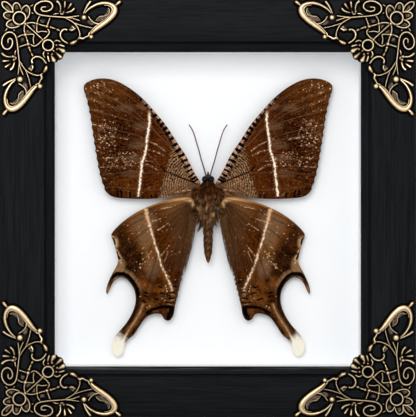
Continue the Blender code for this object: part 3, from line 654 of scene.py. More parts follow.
# The left half of the moth, in pixels of the photograph
MOTH_AXIS_PX = 208.1
WING_BASE_PX = (200.0, 186.0)
FOREWING_FAN_PX = (238.0, 156.0)
HINDWING_FAN_PX = (195.0, 194.0)
COAT_FAN_PX = (197.0, 190.0)
FOREWING_PX = [
    (200.4, 182.6), (193.8, 171.7), (185.8, 155.6), (176.6, 141.8), (166.3, 125.8), (154.8, 111.8),
    (143.3, 99.2), (131.8, 89.6), (120.4, 82.7), (110.8, 79.2), (100.8, 78.3), (91.7, 80.0),
    (85.3, 83.5), (83.5, 88.0), (85.3, 96.0), (89.4, 114.3), (92.8, 137.2), (96.5, 160.2),
    (99.8, 176.0), (104.3, 189.0), (108.9, 194.6), (115.0, 197.3), (126.0, 198.5), (145.0, 199.0),
    (160.5, 198.2), (176.0, 196.8), (197.0, 196.0), (197.5, 192.0), (198.2, 188.0),
]
HINDWING_PX = [
    (188.4, 196.0), (176.9, 197.8), (166.7, 200.2), (156.5, 203.4), (146.3, 207.4), (136.1, 212.5),
    (127.2, 218.3), (119.5, 224.6), (113.6, 230.8), (111.2, 235.6), (113.3, 241.4), (116.9, 254.0),
    (117.8, 259.8), (116.9, 265.0), (110.6, 276.9), (107.4, 284.6), (106.0, 291.0), (107.0, 294.1),
    (109.4, 289.9), (112.5, 283.3), (117.0, 278.6), (122.1, 277.5), (127.2, 280.0), (131.7, 285.2),
    (134.7, 291.6), (135.7, 298.6), (134.8, 305.6), (132.3, 312.7), (128.5, 319.7), (123.4, 326.7),
    (117.6, 333.1), (113.4, 339.4), (111.5, 346.0), (112.5, 352.2), (115.7, 355.9), (119.5, 355.9),
    (122.7, 352.4), (124.2, 345.8), (127.8, 340.1), (133.6, 335.0), (138.0, 328.6), (142.5, 321.8),
    (147.3, 316.6), (154.0, 313.9), (159.7, 313.9), (162.3, 316.0), (164.2, 319.2), (168.0, 320.8),
    (171.2, 319.0), (173.8, 313.9), (175.0, 306.0), (177.4, 294.8), (180.2, 283.0), (183.2, 269.3),
    (186.6, 258.0), (190.0, 245.0), (192.8, 231.0), (195.2, 221.6), (196.6, 212.0), (196.4, 204.0),
    (196.0, 197.0),
]
# The line that the tips of the hair at the hindwing's inner edge follow, and the heights it runs between
EDGE_HAIR_TOP_PX = 221.0
EDGE_HAIR_LOW_PX = 303.0
HAIR_EDGE_PX = [(197.2, 221.0), (195.6, 231.0), (192.9, 245.0), (189.6, 258.0), (186.2, 269.3),
                (182.2, 283.0), (178.8, 294.8), (175.9, 306.0)]
ANTENNA_SOCKET_PX = (205.9, 175.6)
ANTENNA_PX = [(205.3, 173.2), (203.5, 166.8), (201.2, 159.4), (198.9, 150.4), (196.6, 142.7),
              (194.4, 135.3), (192.1, 129.5), (188.9, 124.6)]
BODY_MIDDLE_PX = 203.0
# The furry body from its palps to its tail as (height in the photograph, half width)
BODY_PX = [
    (171.4, 0.0), (172.2, 0.8), (174.4, 1.4), (175.6, 3.2), (177.2, 5.4), (179.4, 6.3), (181.4, 5.4),
    (182.8, 5.6), (185.5, 9.0), (190.0, 11.6), (196.0, 12.8), (203.0, 13.3), (212.0, 12.6),
    (219.0, 10.8), (224.0, 7.4), (227.0, 5.2), (231.0, 5.5), (237.0, 4.9), (242.0, 5.2), (248.0, 4.6),
    (252.0, 4.4), (257.0, 3.0), (261.0, 1.7), (263.4, 0.0),
]

# The forewing's markings
COSTA_PX = FOREWING_PX[:9]
FOREWING_BAND_PX = [
    (149.1, 111.4), (149.6, 121.2), (148.3, 130.4), (146.8, 140.7), (146.2, 148.7), (143.9, 156.8),
    (141.9, 162.5), (141.0, 171.7), (140.1, 182.0), (138.7, 191.2), (138.4, 196.4),
]
FOREWING_SIDE_PX = [(148.0, 60.0), *FOREWING_BAND_PX, (138.2, 230.0)]
TRUNK_PX = [[(197.0, 184.0), (192.7, 182.0), (166.3, 171.7), (161.0, 166.4)]]
FOREWING_VEINS_PX = [
    [(153.6, 161.9), (141.0, 160.2), (108.9, 158.5), (97.0, 158.5)],
    [(158.2, 170.5), (149.0, 166.5), (131.8, 165.4), (114.6, 166.5), (100.8, 167.1)],
    [(161.7, 172.8), (143.3, 172.8), (114.6, 173.4), (102.0, 175.1)],
    [(189.2, 183.2), (160.5, 190.0), (139.9, 189.5), (111.2, 186.6)],
    [(164.0, 151.0), (150.2, 141.8), (122.7, 137.2), (95.1, 136.1)],
    [(165.0, 151.0), (139.9, 136.1), (113.5, 129.2), (90.5, 123.5)],
    [(172.0, 148.7), (152.5, 129.2), (139.9, 123.5), (111.2, 115.4), (90.0, 110.0)],
    [(152.5, 129.2), (131.8, 114.3), (108.9, 105.1), (87.0, 99.4)],
    [(172.0, 148.7), (154.8, 130.4), (135.3, 112.0), (113.5, 99.4), (86.0, 90.2)],
    [(160.0, 165.4), (154.8, 160.2), (146.8, 152.2), (135.3, 147.6)],
    [(192.7, 179.7), (174.3, 151.0), (160.5, 128.1), (143.3, 107.4), (120.4, 90.2), (102.0, 82.0)],
]
FOREWING_STROKES_PX = [
    [(147.9, 149.9), (156.0, 151.6), (164.0, 155.6)], [(150.2, 141.8), (158.0, 145.4), (165.1, 151.0)],
    [(143.0, 164.0), (150.0, 165.0), (158.2, 170.5)], [(141.0, 160.2), (150.0, 161.0)],
    [(112.0, 136.6), (128.0, 139.6)], [(104.0, 158.6), (114.0, 157.2)], [(100.0, 167.4), (112.0, 166.4)],
    [(175.5, 192.4), (184.0, 190.6), (192.7, 189.8)],
]
FOREWING_MARKS_PX = [
    [(117.0, 190.6), (117.6, 196.8)], [(120.6, 190.8), (121.8, 194.4), (121.2, 197.2)],
    [(129.6, 192.8), (130.2, 198.0)], [(137.4, 198.0), (139.0, 197.2)], [(151.0, 195.6), (151.8, 198.2)],
    [(155.6, 194.8), (156.4, 197.8)],
]
COSTAL_BARS_PX = [
    (195.0, 180.9), (193.8, 178.0), (192.7, 174.4), (190.8, 170.0), (188.7, 165.2), (186.0, 160.0),
    (183.0, 154.6), (179.5, 149.3), (176.0, 144.2), (172.0, 138.6), (168.6, 132.9), (165.6, 128.4),
    (162.6, 124.2), (159.2, 120.0), (155.2, 115.4), (150.6, 110.0), (146.2, 105.2), (140.4, 99.6),
]
BLOOM_SPOTS_PX = [(143.0, 106.0), (142.0, 126.0), (137.0, 145.0), (134.0, 158.0), (131.0, 174.0),
                  (126.0, 108.0)]
BASAL_LINE_PX = [(186.0, 99.0), (173.0, 149.0), (160.5, 197.0), (154.0, 222.0)]

# The hindwing's markings
HINDWING_BAND_PX = [
    (145.7, 210.0), (147.6, 218.3), (150.8, 229.7), (154.0, 241.2), (157.8, 252.7), (161.6, 265.5),
    (165.5, 274.4), (170.6, 285.9), (173.8, 294.8),
]
HINDWING_SIDE_PX = [(138.6, 180.0), *HINDWING_BAND_PX, (192.0, 345.0)]
HINDWING_VEINS_PX = [
    [(192.0, 201.7), (151.4, 214.4), (111.9, 234.8)], [(192.0, 201.7), (143.8, 231.0), (117.0, 255.3)],
    [(192.0, 201.7), (156.5, 234.8), (134.8, 280.8)],
    [(192.0, 201.7), (160.5, 244.0), (143.8, 298.6), (128.5, 330.5)],
    [(192.0, 201.7), (176.0, 250.0), (168.0, 284.0), (160.0, 306.0)],
    [(192.0, 201.7), (184.0, 240.0), (174.4, 307.6)], [(190.0, 199.0), (160.0, 205.0), (124.0, 222.0)],
]
HINDWING_STROKES_PX = [
    [(161.6, 208.7), (171.8, 206.8)], [(151.4, 221.5), (160.4, 218.9)], [(157.8, 230.4), (168.0, 223.4)],
    [(160.4, 256.5), (169.3, 245.7)], [(142.5, 259.7), (150.2, 253.3)], [(164.0, 262.0), (168.4, 252.0)],
    [(139.0, 268.0), (143.0, 263.6)], [(142.0, 249.0), (145.6, 247.0)],
]
HINDWING_GLEAM_PX = [[(160.0, 203.4), (172.0, 200.0), (182.0, 198.6), (189.0, 199.4), (192.6, 203.0),
                      (193.4, 208.0)]]
TAIL_STREAK_PX = [[(142.9, 304.6), (140.2, 311.9), (134.8, 321.3), (129.5, 328.7), (126.6, 334.0),
                   (120.0, 346.0)]]
NOTCH_BORDER_PX = [[(108.6, 286.0), (111.4, 278.0), (116.7, 274.0), (123.4, 273.9), (128.1, 276.4),
                    (132.8, 281.6), (136.8, 288.5), (138.0, 294.5)]]
TAIL_BORDER_PX = [[(138.0, 294.5), (137.2, 305.2), (133.9, 313.9), (129.4, 321.6), (120.6, 331.4)],
                  [(151.0, 312.6), (144.0, 318.0), (138.6, 326.0), (133.0, 333.6)]]
LOBE_BORDER_PX = [[(146.9, 312.9), (152.2, 309.6), (160.3, 307.3), (171.0, 306.9)]]
LOBE_BAR_PX = [[(172.0, 307.9), (170.8, 313.0), (168.8, 317.6)]]
HINDWING_MARKS_PX = [
    [(144.2, 292.6), (147.4, 293.4)], [(143.6, 295.6), (147.2, 296.6)], [(141.6, 300.4), (145.8, 302.2)],
    [(153.4, 298.2), (158.6, 300.2)], [(160.4, 292.8), (164.2, 293.6)], [(158.4, 286.6), (162.0, 287.8)],
    [(168.6, 298.8), (173.6, 297.8)], [(165.8, 302.2), (171.0, 303.4)], [(171.6, 292.0), (175.6, 293.4)],
    [(166.6, 294.6), (169.4, 296.0)], [(175.4, 281.8), (179.2, 283.2)], [(178.6, 277.6), (181.8, 278.6)],
    [(180.6, 273.4), (182.6, 274.8)], [(173.6, 287.2), (177.6, 286.4)], [(172.4, 302.0), (174.6, 303.4)],
]
SCALLOP_MARKS_PX = [[(112.4, 238.2), (114.2, 241.0), (114.8, 244.4)],
                    [(116.0, 251.6), (117.4, 255.0), (119.6, 259.0)]]


def distance_to(spots, lines):
    """How far each spot is from the nearest of the lines."""
    nearest = np.full(len(spots), 1000.0)
    for line in lines:
        for start, end in zip(np.array(line), np.array(line)[1:]):
            run = end - start
            along = np.clip((spots - start) @ run / (run @ run), 0, 1)
            nearest = np.minimum(nearest, np.linalg.norm(spots - start - along[:, None] * run, axis=1))
    return nearest


def beyond(spots, line):
    """How far each spot is from the line, below 0 on the body's side of it."""
    nearest, side = np.full(len(spots), 1000.0), np.ones(len(spots))
    for start, end in zip(np.array(line), np.array(line)[1:]):
        run = end - start
        along = np.clip((spots - start) @ run / (run @ run), 0, 1)
        away = np.linalg.norm(spots - start - along[:, None] * run, axis=1)
        offset = spots - start
        cross = run[0] * offset[:, 1] - run[1] * offset[:, 0]
        side = np.where(away < nearest, np.sign(cross), side)
        nearest = np.minimum(nearest, away)
    return nearest * side


def costal_bars():
    """Short bars running straight in from the costal edge, deepest near the body."""
    bars = []
    for spot in COSTAL_BARS_PX:
        feet = []
        for start, end in zip(COSTA_PX, COSTA_PX[1:]):
            start, run = Vector(start), Vector(end) - Vector(start)
            along = min(max((Vector(spot) - start).dot(run) / run.length_squared, 0), 1)
            feet.append((start + run * along, run.normalized()))
        foot, run = min(feet, key=lambda pair: (pair[0] - Vector(spot)).length)
        inward = Vector((run.y, -run.x))
        deep = 2.6 + 3.6 * min(max((spot[1] - 100) / 65, 0), 1)
        bars.append([tuple(foot + inward * 0.7), tuple(foot + inward * deep)])
    return bars


def smooth_outline(points, steps):
    """The closed outline drawn as a smooth curve through its points."""
    made = []
    spots = [np.array(p) for p in points]
    for i in range(len(spots)):
        before, start, end, after = (spots[(i + k) % len(spots)] for k in (-1, 0, 1, 2))
        for t in np.arange(steps) / steps:
            a, b = end - before, after - start
            made.append(start + 0.5 * t * a + t * t * (3 * (end - start) - a - 0.5 * b)
                        + t ** 3 * (2 * (start - end) + 0.5 * (a + b)))
    return made


def scalloped(outline, side_x, low_y, high_y):
    """The outline with shallow scallops along its outer margin, one between each pair of vein ends."""
    made = []
    for x, y in outline:
        if x < side_x and low_y < y < high_y:
            x += SCALLOP_DEEP_PX * abs(math.sin(math.pi * (y - SCALLOP_START_PX) / SCALLOP_PITCH_PX))
        made.append((x, y))
    return made


def wing_spots(spots, lifts, root_height, side):
    """Places on the set wing: out from the body the wing comes nearer to the board."""
    root_y = BOARD_Y - root_height
    axis_x, _ = from_photo(MOTH_AXIS_PX, 0, root_y)
    x, z = from_photo(spots[:, 0], spots[:, 1], root_y)
    run = axis_x - x
    return np.stack((axis_x - side * run, root_y + run * WING_DROOP - lifts, z), axis=1)


def wing_sheet(outline, thick):
    """The outline as a thin closed sheet cut fine enough to carry the markings."""
    bm = bmesh.new()
    bm.faces.new([bm.verts.new((x, y, 0)) for x, y in outline])
    for axis in (0, 1):
        low, high = min(p[axis] for p in outline), max(p[axis] for p in outline)
        for at in np.arange(low + WEB_PITCH_PX / 2, high, WEB_PITCH_PX):
            plane = (at, 0, 0) if axis == 0 else (0, at, 0)
            facing = (1, 0, 0) if axis == 0 else (0, 1, 0)
            sheet = [*bm.verts, *bm.edges, *bm.faces]
            bmesh.ops.bisect_plane(bm, geom=sheet, plane_co=plane, plane_no=facing, dist=1e-5)
    grown = bmesh.ops.extrude_face_region(bm, geom=bm.faces[:])
    front = [item for item in grown["geom"] if isinstance(item, bmesh.types.BMVert)]
    bmesh.ops.translate(bm, vec=(0, 0, thick), verts=front)
    bmesh.ops.recalc_face_normals(bm, faces=bm.faces)
    return bm


def wing_mesh(name, outline, fields, root_height, side, veins):
    """A wing's sheet in its place, keeping the named fields on its points."""
    bm = wing_sheet(outline, WING_THICK)
    mesh = bpy.data.meshes.new(name)
    bm.to_mesh(mesh)
    bm.free()
    co = np.empty(len(mesh.vertices) * 3)
    mesh.vertices.foreach_get("co", co)
    co = co.reshape(-1, 3)
    spots = co[:, :2]
    values = fields(spots)
    values["x_px"], values["y_px"] = spots.T
    values["edge"] = distance_to(spots, [[*outline, outline[0]]])
    for label, value in values.items():
        mesh.attributes.new(label, "FLOAT", "POINT").data.foreach_set("value", value.astype(np.float32))
    ridge = np.exp(-(distance_to(spots, veins) / 0.8) ** 2)
    waves = np.sin(spots[:, 0] / 9 + spots[:, 1] / 15) * np.cos(spots[:, 1] / 11)
    lifts = co[:, 2] + (0.1 * ridge + 0.16 * waves) * MM
    mesh.vertices.foreach_set("co", wing_spots(spots, lifts, root_height, side).ravel())
    if side < 0:
        mesh.flip_normals()
    mesh.update()
    return mesh


def forewing_fields(spots):
    away = spots - np.array(WING_BASE_PX)
    fan = spots - np.array(FOREWING_FAN_PX)
    return {
        "outward": beyond(spots, FOREWING_SIDE_PX),
        "band": distance_to(spots, [FOREWING_BAND_PX]),
        "vein": distance_to(spots, FOREWING_VEINS_PX),
        "trunk": distance_to(spots, TRUNK_PX),
        "costa": distance_to(spots, [COSTA_PX]),
        "bar": distance_to(spots, costal_bars()),
        "stroke": distance_to(spots, FOREWING_STROKES_PX),
        "mark": distance_to(spots, FOREWING_MARKS_PX),
        "basal": -beyond(spots, BASAL_LINE_PX),
        "reach": np.linalg.norm(away, axis=1),
        "ray": np.arctan2(fan[:, 1], -fan[:, 0]),
        "turn": np.arctan2(away[:, 1], -away[:, 0]),
    }


def hindwing_fields(spots):
    away = spots - np.array(HINDWING_FAN_PX)
    return {
        "outward": beyond(spots, HINDWING_SIDE_PX),
        "band": distance_to(spots, [HINDWING_BAND_PX]),
        "vein": distance_to(spots, HINDWING_VEINS_PX),
        "stroke": distance_to(spots, HINDWING_STROKES_PX),
        "mark": distance_to(spots, HINDWING_MARKS_PX),
        "streak": distance_to(spots, TAIL_STREAK_PX),
        "notch": distance_to(spots, NOTCH_BORDER_PX),
        "tail_border": distance_to(spots, TAIL_BORDER_PX),
        "lobe": np.minimum(distance_to(spots, LOBE_BORDER_PX), distance_to(spots, LOBE_BAR_PX) - 1.0),
        "scallop": distance_to(spots, SCALLOP_MARKS_PX),
        "gleam": distance_to(spots, HINDWING_GLEAM_PX),
        "reach": np.linalg.norm(away, axis=1),
        "ray": np.arctan2(away[:, 1], -away[:, 0]),
    }


def patch(finish, middle, radius, soft=0.7):
    """1 inside an oval patch of the wing, 0 well outside it."""
    x = finish.math("DIVIDE", finish.math("SUBTRACT", finish.value("x_px"), middle[0]), radius[0])
    y = finish.math("DIVIDE", finish.math("SUBTRACT", finish.value("y_px"), middle[1]), radius[1])
    square = finish.plus(finish.times(x, x), finish.times(y, y))
    return finish.step(square, 1.0 + soft, max(1.0 - soft, 0.0))


def forewing_scales():
    wing = Finish("forewing_scales", roughness=0.8, Specular_IOR_Level=0.005)
    outward, reach, ray = wing.value("outward"), wing.value("reach"), wing.value("ray")
    y_px, edge = wing.value("y_px"), wing.value("edge")
    where = wing.place()
    streak = wing.noise(wing.vector(wing.times(ray, 60.0), wing.times(outward, 0.05)), 1.0, 4.0, 0.65)
    cloud = wing.noise(where, 0.16, 4.0, 0.6)
    scale = wing.noise(where, 0.85, 5.0, 0.8)
    rough = wing.math("SUBTRACT", scale, 0.5)
    wing.ground = wing.ramp(outward, -60.0, 60.0, [
        (-58.0, linear(96, 66, 40)), (-38.0, linear(84, 46, 16)), (-14.0, linear(96, 48, 12)),
        (-3.0, linear(74, 31, 5)), (1.6, linear(92, 54, 26)), (8.0, linear(84, 44, 18)),
        (17.0, linear(66, 28, 6)), (30.0, linear(56, 22, 4)), (42.0, linear(84, 42, 14)),
        (54.0, linear(104, 62, 26)),
    ])
    wing.lay((46, 13, 1), patch(wing, (118, 140), (17, 15), 0.8), 0.7)
    apex = wing.times(wing.step(y_px, 122.0, 88.0), wing.step(outward, 10.0, 30.0))
    wing.lay((132, 84, 40), apex, 0.6)
    wing.lay((38, 15, 4), patch(wing, (107, 190), (10, 8)), 0.7)
    wing.lay((32, 10, 1), wing.step(streak, 0.47, 0.25), 0.85)
    wing.lay((150, 90, 38), wing.step(streak, 0.53, 0.78), 0.7)
    rows = wing.math("SINE", wing.plus(wing.times(ray, 116.0), wing.times(cloud, 7.0)))
    outer = wing.step(outward, 26.0, 38.0)
    wing.lay((40, 16, 3), wing.times(wing.step(rows, 0.1, 0.9), wing.times(outer, 0.5)))
    rows = wing.step(rows, -0.2, -0.9)
    wing.lay((20, 6, 1), wing.step(scale, 0.5, 0.4), 0.62)
    wing.lay((150, 92, 40), wing.step(scale, 0.51, 0.64), 0.4)
    warm_low = wing.times(patch(wing, (124, 187), (15, 9), 0.8),
                          wing.times(wing.step(scale, 0.35, 0.65), 0.4))
    wing.lay((150, 92, 36), warm_low)
    wing.ground = wing.mix(1.0, wing.ground, SCALE_DEPTH, "MULTIPLY")
    bloom = patch(wing, BLOOM_SPOTS_PX[0], (5.0, 4.0))
    for spot in BLOOM_SPOTS_PX[1:]:
        bloom = wing.math("MAXIMUM", bloom, patch(wing, spot, (9.0, 3.6), 0.95))
    bloom = wing.times(bloom, wing.step(streak, 0.36, 0.56))
    wing.lay((116, 88, 62), bloom, 0.5)

    wave = wing.math("SINE", wing.plus(wing.times(reach, 2 * math.pi / 2.35), wing.times(cloud, 14.0)))
    breaks = wing.noise(wing.vector(wing.times(wing.value("turn"), 22.0), wing.times(reach, 0.42)), 1.0, 2.0)
    basal = wing.step(wing.plus(wing.value("basal"), wing.times(scale, 9.0)), 0.8, 6.8)
    breaks = wing.plus(breaks, wing.times(wing.step(y_px, 160.0, 186.0), -0.035))
    tan = wing.mix(wing.step(scale, 0.36, 0.62), linear(64, 36, 17), linear(176, 134, 96))
    striae = wing.times(wing.step(wave, -0.45, 0.1), wing.step(breaks, 0.38, 0.5))
    lined = wing.mix(striae, tan, linear(8, 4, 2))
    lower = wing.math("MAXIMUM", patch(wing, (186, 192), (19, 5.0), 0.8), wing.step(reach, 18.0, 7.0))
    tufted = wing.mix(wing.step(streak, 0.42, 0.6), linear(40, 22, 10), linear(128, 88, 56))
    lined = wing.mix(wing.times(lower, 0.85), lined, tufted)
    wing.lay(lined, basal, 0.94)

    vein_share = wing.times(wing.step(wing.value("vein"), 0.7, 0.15), 0.55)
    wing.lay((100, 72, 52), vein_share)
    wing.lay((20, 9, 3), wing.step(wing.value("trunk"), 1.2, 0.5), 0.9)
    strip_depth = wing.plus(1.5, wing.times(wing.step(y_px, 104.0, 172.0), 3.0))
    strip = wing.step(wing.plus(wing.math("SUBTRACT", wing.value("costa"), strip_depth), scale), 1.4, -0.2)
    strip = wing.times(strip, wing.step(y_px, 94.0, 104.0))
    strip = wing.times(strip, wing.step(y_px, 184.5, 180.0))
    pink = wing.mix(wing.step(scale, 0.38, 0.6), linear(104, 66, 46), linear(216, 172, 142))
    wing.lay(pink, strip, 0.95)
    ragged = wing.plus(wing.value("bar"), wing.times(rough, 2.6))
    bar_half = wing.plus(1.2, wing.times(patch(wing, (172, 138), (30, 30), 0.9), 0.45))
    bars = wing.step(wing.math("SUBTRACT", ragged, bar_half), 0.25, -0.25)
    wing.lay((4, 3, 2), bars)
    rim = wing.times(wing.step(wing.value("costa"), 1.1, 0.4), wing.step(y_px, 112.0, 98.0))
    wing.lay((36, 18, 6), rim, 0.85)

    strokes = wing.step(wing.plus(wing.value("stroke"), wing.times(rough, 7.0)), 0.5, -0.1)
    wing.lay((206, 166, 128), strokes, 0.75)
    dashes = wing.noise(wing.vector(wing.times(ray, 150.0), wing.times(outward, 0.2)), 1.0, 3.0, 0.6)
    dashes = wing.step(dashes, 0.56, 0.72)
    dashes = wing.times(dashes, wing.step(outward, 6.0, 26.0))
    wing.lay((150, 104, 58), dashes, 0.34)
    spot, chance = wing.cells(wing.vector(wing.times(ray, 84.0), wing.times(outward, 0.46)), 1.0)
    crowd = wing.math("MAXIMUM", patch(wing, (107, 136), (11, 17)), patch(wing, (124, 160), (20, 9)))
    crowd = wing.math("MAXIMUM", crowd, wing.times(patch(wing, (97, 88), (14, 10)), 0.8))
    crowd = wing.math("MAXIMUM", crowd, wing.times(wing.times(rows, outer), 0.8))
    scrawl = wing.noise(wing.vector(wing.times(ray, 96.0), wing.times(outward, 0.5)), 1.0, 2.0)
    scrawl = wing.step(wing.math("ABSOLUTE", wing.math("SUBTRACT", scrawl, 0.5)), 0.034, 0.008)
    gathered = wing.step(wing.plus(wing.noise(where, 0.6, 2.0), wing.times(crowd, 0.13)), 0.64, 0.72)
    wing.lay((206, 160, 116), wing.times(scrawl, wing.times(gathered, 0.75)))
    picked = wing.step(wing.plus(chance, wing.times(crowd, 0.3)), 1.0, 1.2)
    flecks = wing.step(wing.plus(spot, wing.times(rough, 1.8)), 0.4, 0.24)
    flecks = wing.times(flecks, wing.math("POWER", picked, 0.5))
    wing.lay((232, 190, 148), flecks, 0.95)
    fine, chance = wing.cells(where, 2.1)
    few = wing.times(wing.step(fine, 0.36, 0.2), wing.step(chance, 0.86, 0.9))
    wing.lay((150, 92, 46), few, 0.35)

    torn = wing.math("SUBTRACT", wing.noise(where, 1.1, 4.0), 0.5)
    frayed = wing.plus(wing.value("band"), wing.times(torn, 4.0))
    band = wing.times(wing.step(frayed, 1.25, 0.55), wing.step(y_px, 110.0, 117.0))
    wing.lay((160, 108, 60), wing.step(frayed, 2.9, 0.8), 0.5)
    wing.lay(wing.mix(scale, linear(236, 214, 186), linear(255, 250, 238)), band)
    wing.lay((8, 4, 2), wing.step(wing.value("mark"), 1.25, 0.6))
    frill = wing.times(wing.step(wing.plus(edge, wing.times(scale, 1.4)), 1.9, 0.9),
                       wing.step(outward, 20.0, 40.0))
    wing.lay((34, 16, 5), frill, 0.8)
    wing.bump(wing.plus(streak, wing.times(scale, 0.6)), 0.06 * MM, 0.8)
    return wing.done(wing.ground)


def hindwing_scales():
    wing = Finish("hindwing_scales", roughness=0.8, Specular_IOR_Level=0.005)
    outward, reach, ray = wing.value("outward"), wing.value("reach"), wing.value("ray")
    x_px, y_px, edge = wing.value("x_px"), wing.value("y_px"), wing.value("edge")
    where = wing.place()
    streak = wing.noise(wing.vector(wing.times(ray, 38.0), wing.times(reach, 0.03)), 1.0, 5.0, 0.65)
    hairs = wing.noise(wing.vector(wing.times(ray, 120.0), wing.times(reach, 0.07)), 1.0, 3.0, 0.6)
    cloud = wing.noise(where, 0.16, 4.0, 0.6)
    scale = wing.noise(where, 0.85, 5.0, 0.8)
    rough = wing.math("SUBTRACT", scale, 0.5)
    wing.ground = wing.ramp(outward, -50.0, 50.0, [
        (-48.0, linear(84, 56, 34)), (-30.0, linear(76, 44, 18)), (-12.0, linear(92, 46, 12)),
        (-2.0, linear(74, 35, 8)), (2.4, linear(156, 116, 76)), (11.0, linear(160, 120, 80)),
        (19.0, linear(132, 84, 42)), (28.0, linear(60, 28, 8)), (38.0, linear(104, 68, 36)),
        (46.0, linear(150, 110, 70)),
    ])
    lower = wing.step(y_px, 238.0, 268.0)
    brown = wing.mix(wing.step(cloud, 0.35, 0.65), linear(58, 24, 4), linear(136, 88, 44))
    wing.lay(brown, wing.times(lower, wing.step(outward, -6.0, 4.0)))
    wing.lay((28, 5, 0), patch(wing, (131, 261), (11, 20), 0.8), 0.95)
    wing.lay((52, 22, 4), patch(wing, (122, 240), (6, 15), 0.8), 0.7)
    wing.lay((36, 15, 3), wing.step(streak, 0.47, 0.25), 0.85)
    wing.lay((150, 96, 44), wing.step(streak, 0.53, 0.78), 0.7)
    wing.lay((150, 104, 60), wing.step(hairs, 0.52, 0.7), 0.4)
    wing.lay((20, 7, 1), wing.step(scale, 0.5, 0.4), 0.55)
    wing.lay((150, 100, 48), wing.step(scale, 0.51, 0.64), 0.36)
    wing.ground = wing.mix(1.0, wing.ground, SCALE_DEPTH, "MULTIPLY")

    pale = wing.step(hairs, 0.3, 0.62)
    for middle, radius in (((119, 265), (5.5, 8)), ((116, 243), (2.6, 6))):
        share = wing.times(patch(wing, middle, radius, 0.95), wing.plus(0.2, wing.times(pale, 0.5)))
        wing.lay((176, 138, 98), share)
    beside = wing.times(wing.step(wing.value("notch"), 7.0, 2.6), wing.step(y_px, 300.0, 276.0))
    beside = wing.times(beside, wing.plus(0.15, wing.times(pale, 0.6)))
    wing.lay((158, 120, 80), beside)
    for middle in ((152, 268), (146, 236), (137, 222), (150, 222)):
        share = wing.times(patch(wing, middle, (7, 10), 0.95), wing.plus(0.2, wing.times(pale, 0.4)))
        wing.lay((124, 96, 70), share)
    furry = wing.times(wing.step(outward, -12.0, -28.0), wing.step(y_px, 292.0, 258.0))
    coat = wing.mix(wing.step(hairs, 0.3, 0.7), linear(48, 25, 11), linear(102, 68, 40))
    wing.lay(coat, furry, 0.85)
    glow = wing.times(wing.step(reach, 56.0, 6.0), wing.step(ray, 0.95, 0.1))
    wing.lay((190, 130, 72), wing.times(glow, wing.plus(0.2, wing.times(streak, 0.7))))
    gleam = wing.step(wing.plus(wing.value("gleam"), wing.times(wing.math("SUBTRACT", hairs, 0.5), 5.0)),
                      3.4, 0.2)
    gleam = wing.times(gleam, wing.step(reach, 36.0, 12.0))
    wing.lay((240, 186, 128), gleam, 0.66)
    costal = wing.times(wing.step(y_px, 236.0, 200.0), wing.step(edge, 2.6, 0.4))
    wing.lay((176, 118, 62), wing.times(costal, wing.times(wing.step(ray, 0.9, 0.5), 0.8)))
    plain = wing.times(wing.step(outward, 2.0, 6.0), wing.step(y_px, 256.0, 232.0))
    combs = wing.step(wing.math("SINE", wing.plus(wing.times(reach, 2.2), wing.times(cloud, 12.0))), 0.2, 0.9)
    wing.lay((60, 34, 15), wing.times(combs, plain), 0.3)
    wing.lay((52, 28, 10), wing.times(wing.step(hairs, 0.5, 0.36), plain), 0.5)
    vein_share = wing.times(wing.step(wing.value("vein"), 0.9, 0.2), 0.6)
    wing.lay((34, 16, 5), vein_share)

    strokes = wing.step(wing.plus(wing.value("stroke"), wing.times(rough, 4.6)), 0.7, 0.05)
    wing.lay((208, 166, 120), strokes, 0.75)
    spot, chance = wing.cells(wing.vector(wing.times(ray, 64.0), wing.times(reach, 0.5)), 1.0)
    crowd = wing.math("MAXIMUM", patch(wing, (143, 260), (11, 14)),
                      wing.times(patch(wing, (171, 293), (8, 12)), 2.6))
    crowd = wing.math("MAXIMUM", crowd, 0.25)
    picked = wing.step(wing.plus(chance, wing.times(crowd, 0.16)), 1.0, 1.03)
    flecks = wing.times(wing.step(wing.plus(spot, wing.times(rough, 1.1)), 0.44, 0.24), picked)
    wing.lay((226, 190, 146), flecks, 0.9)

    torn = wing.math("SUBTRACT", wing.noise(where, 1.1, 4.0), 0.5)
    frayed = wing.plus(wing.value("band"), wing.times(torn, 4.2))
    wide = wing.plus(0.55, wing.times(wing.step(y_px, 240.0, 208.0), 1.0))
    frayed = wing.math("SUBTRACT", frayed, wide)
    band = wing.times(wing.step(frayed, 0.5, -0.4), wing.step(y_px, 298.0, 284.0))
    wing.lay((160, 108, 60), wing.step(frayed, 2.2, 0.2), 0.5)
    cream = wing.mix(wing.step(y_px, 236.0, 214.0), linear(252, 242, 224), linear(206, 170, 134))
    wing.lay(wing.mix(wing.step(scale, 0.42, 0.6), linear(206, 168, 130), cream), band)

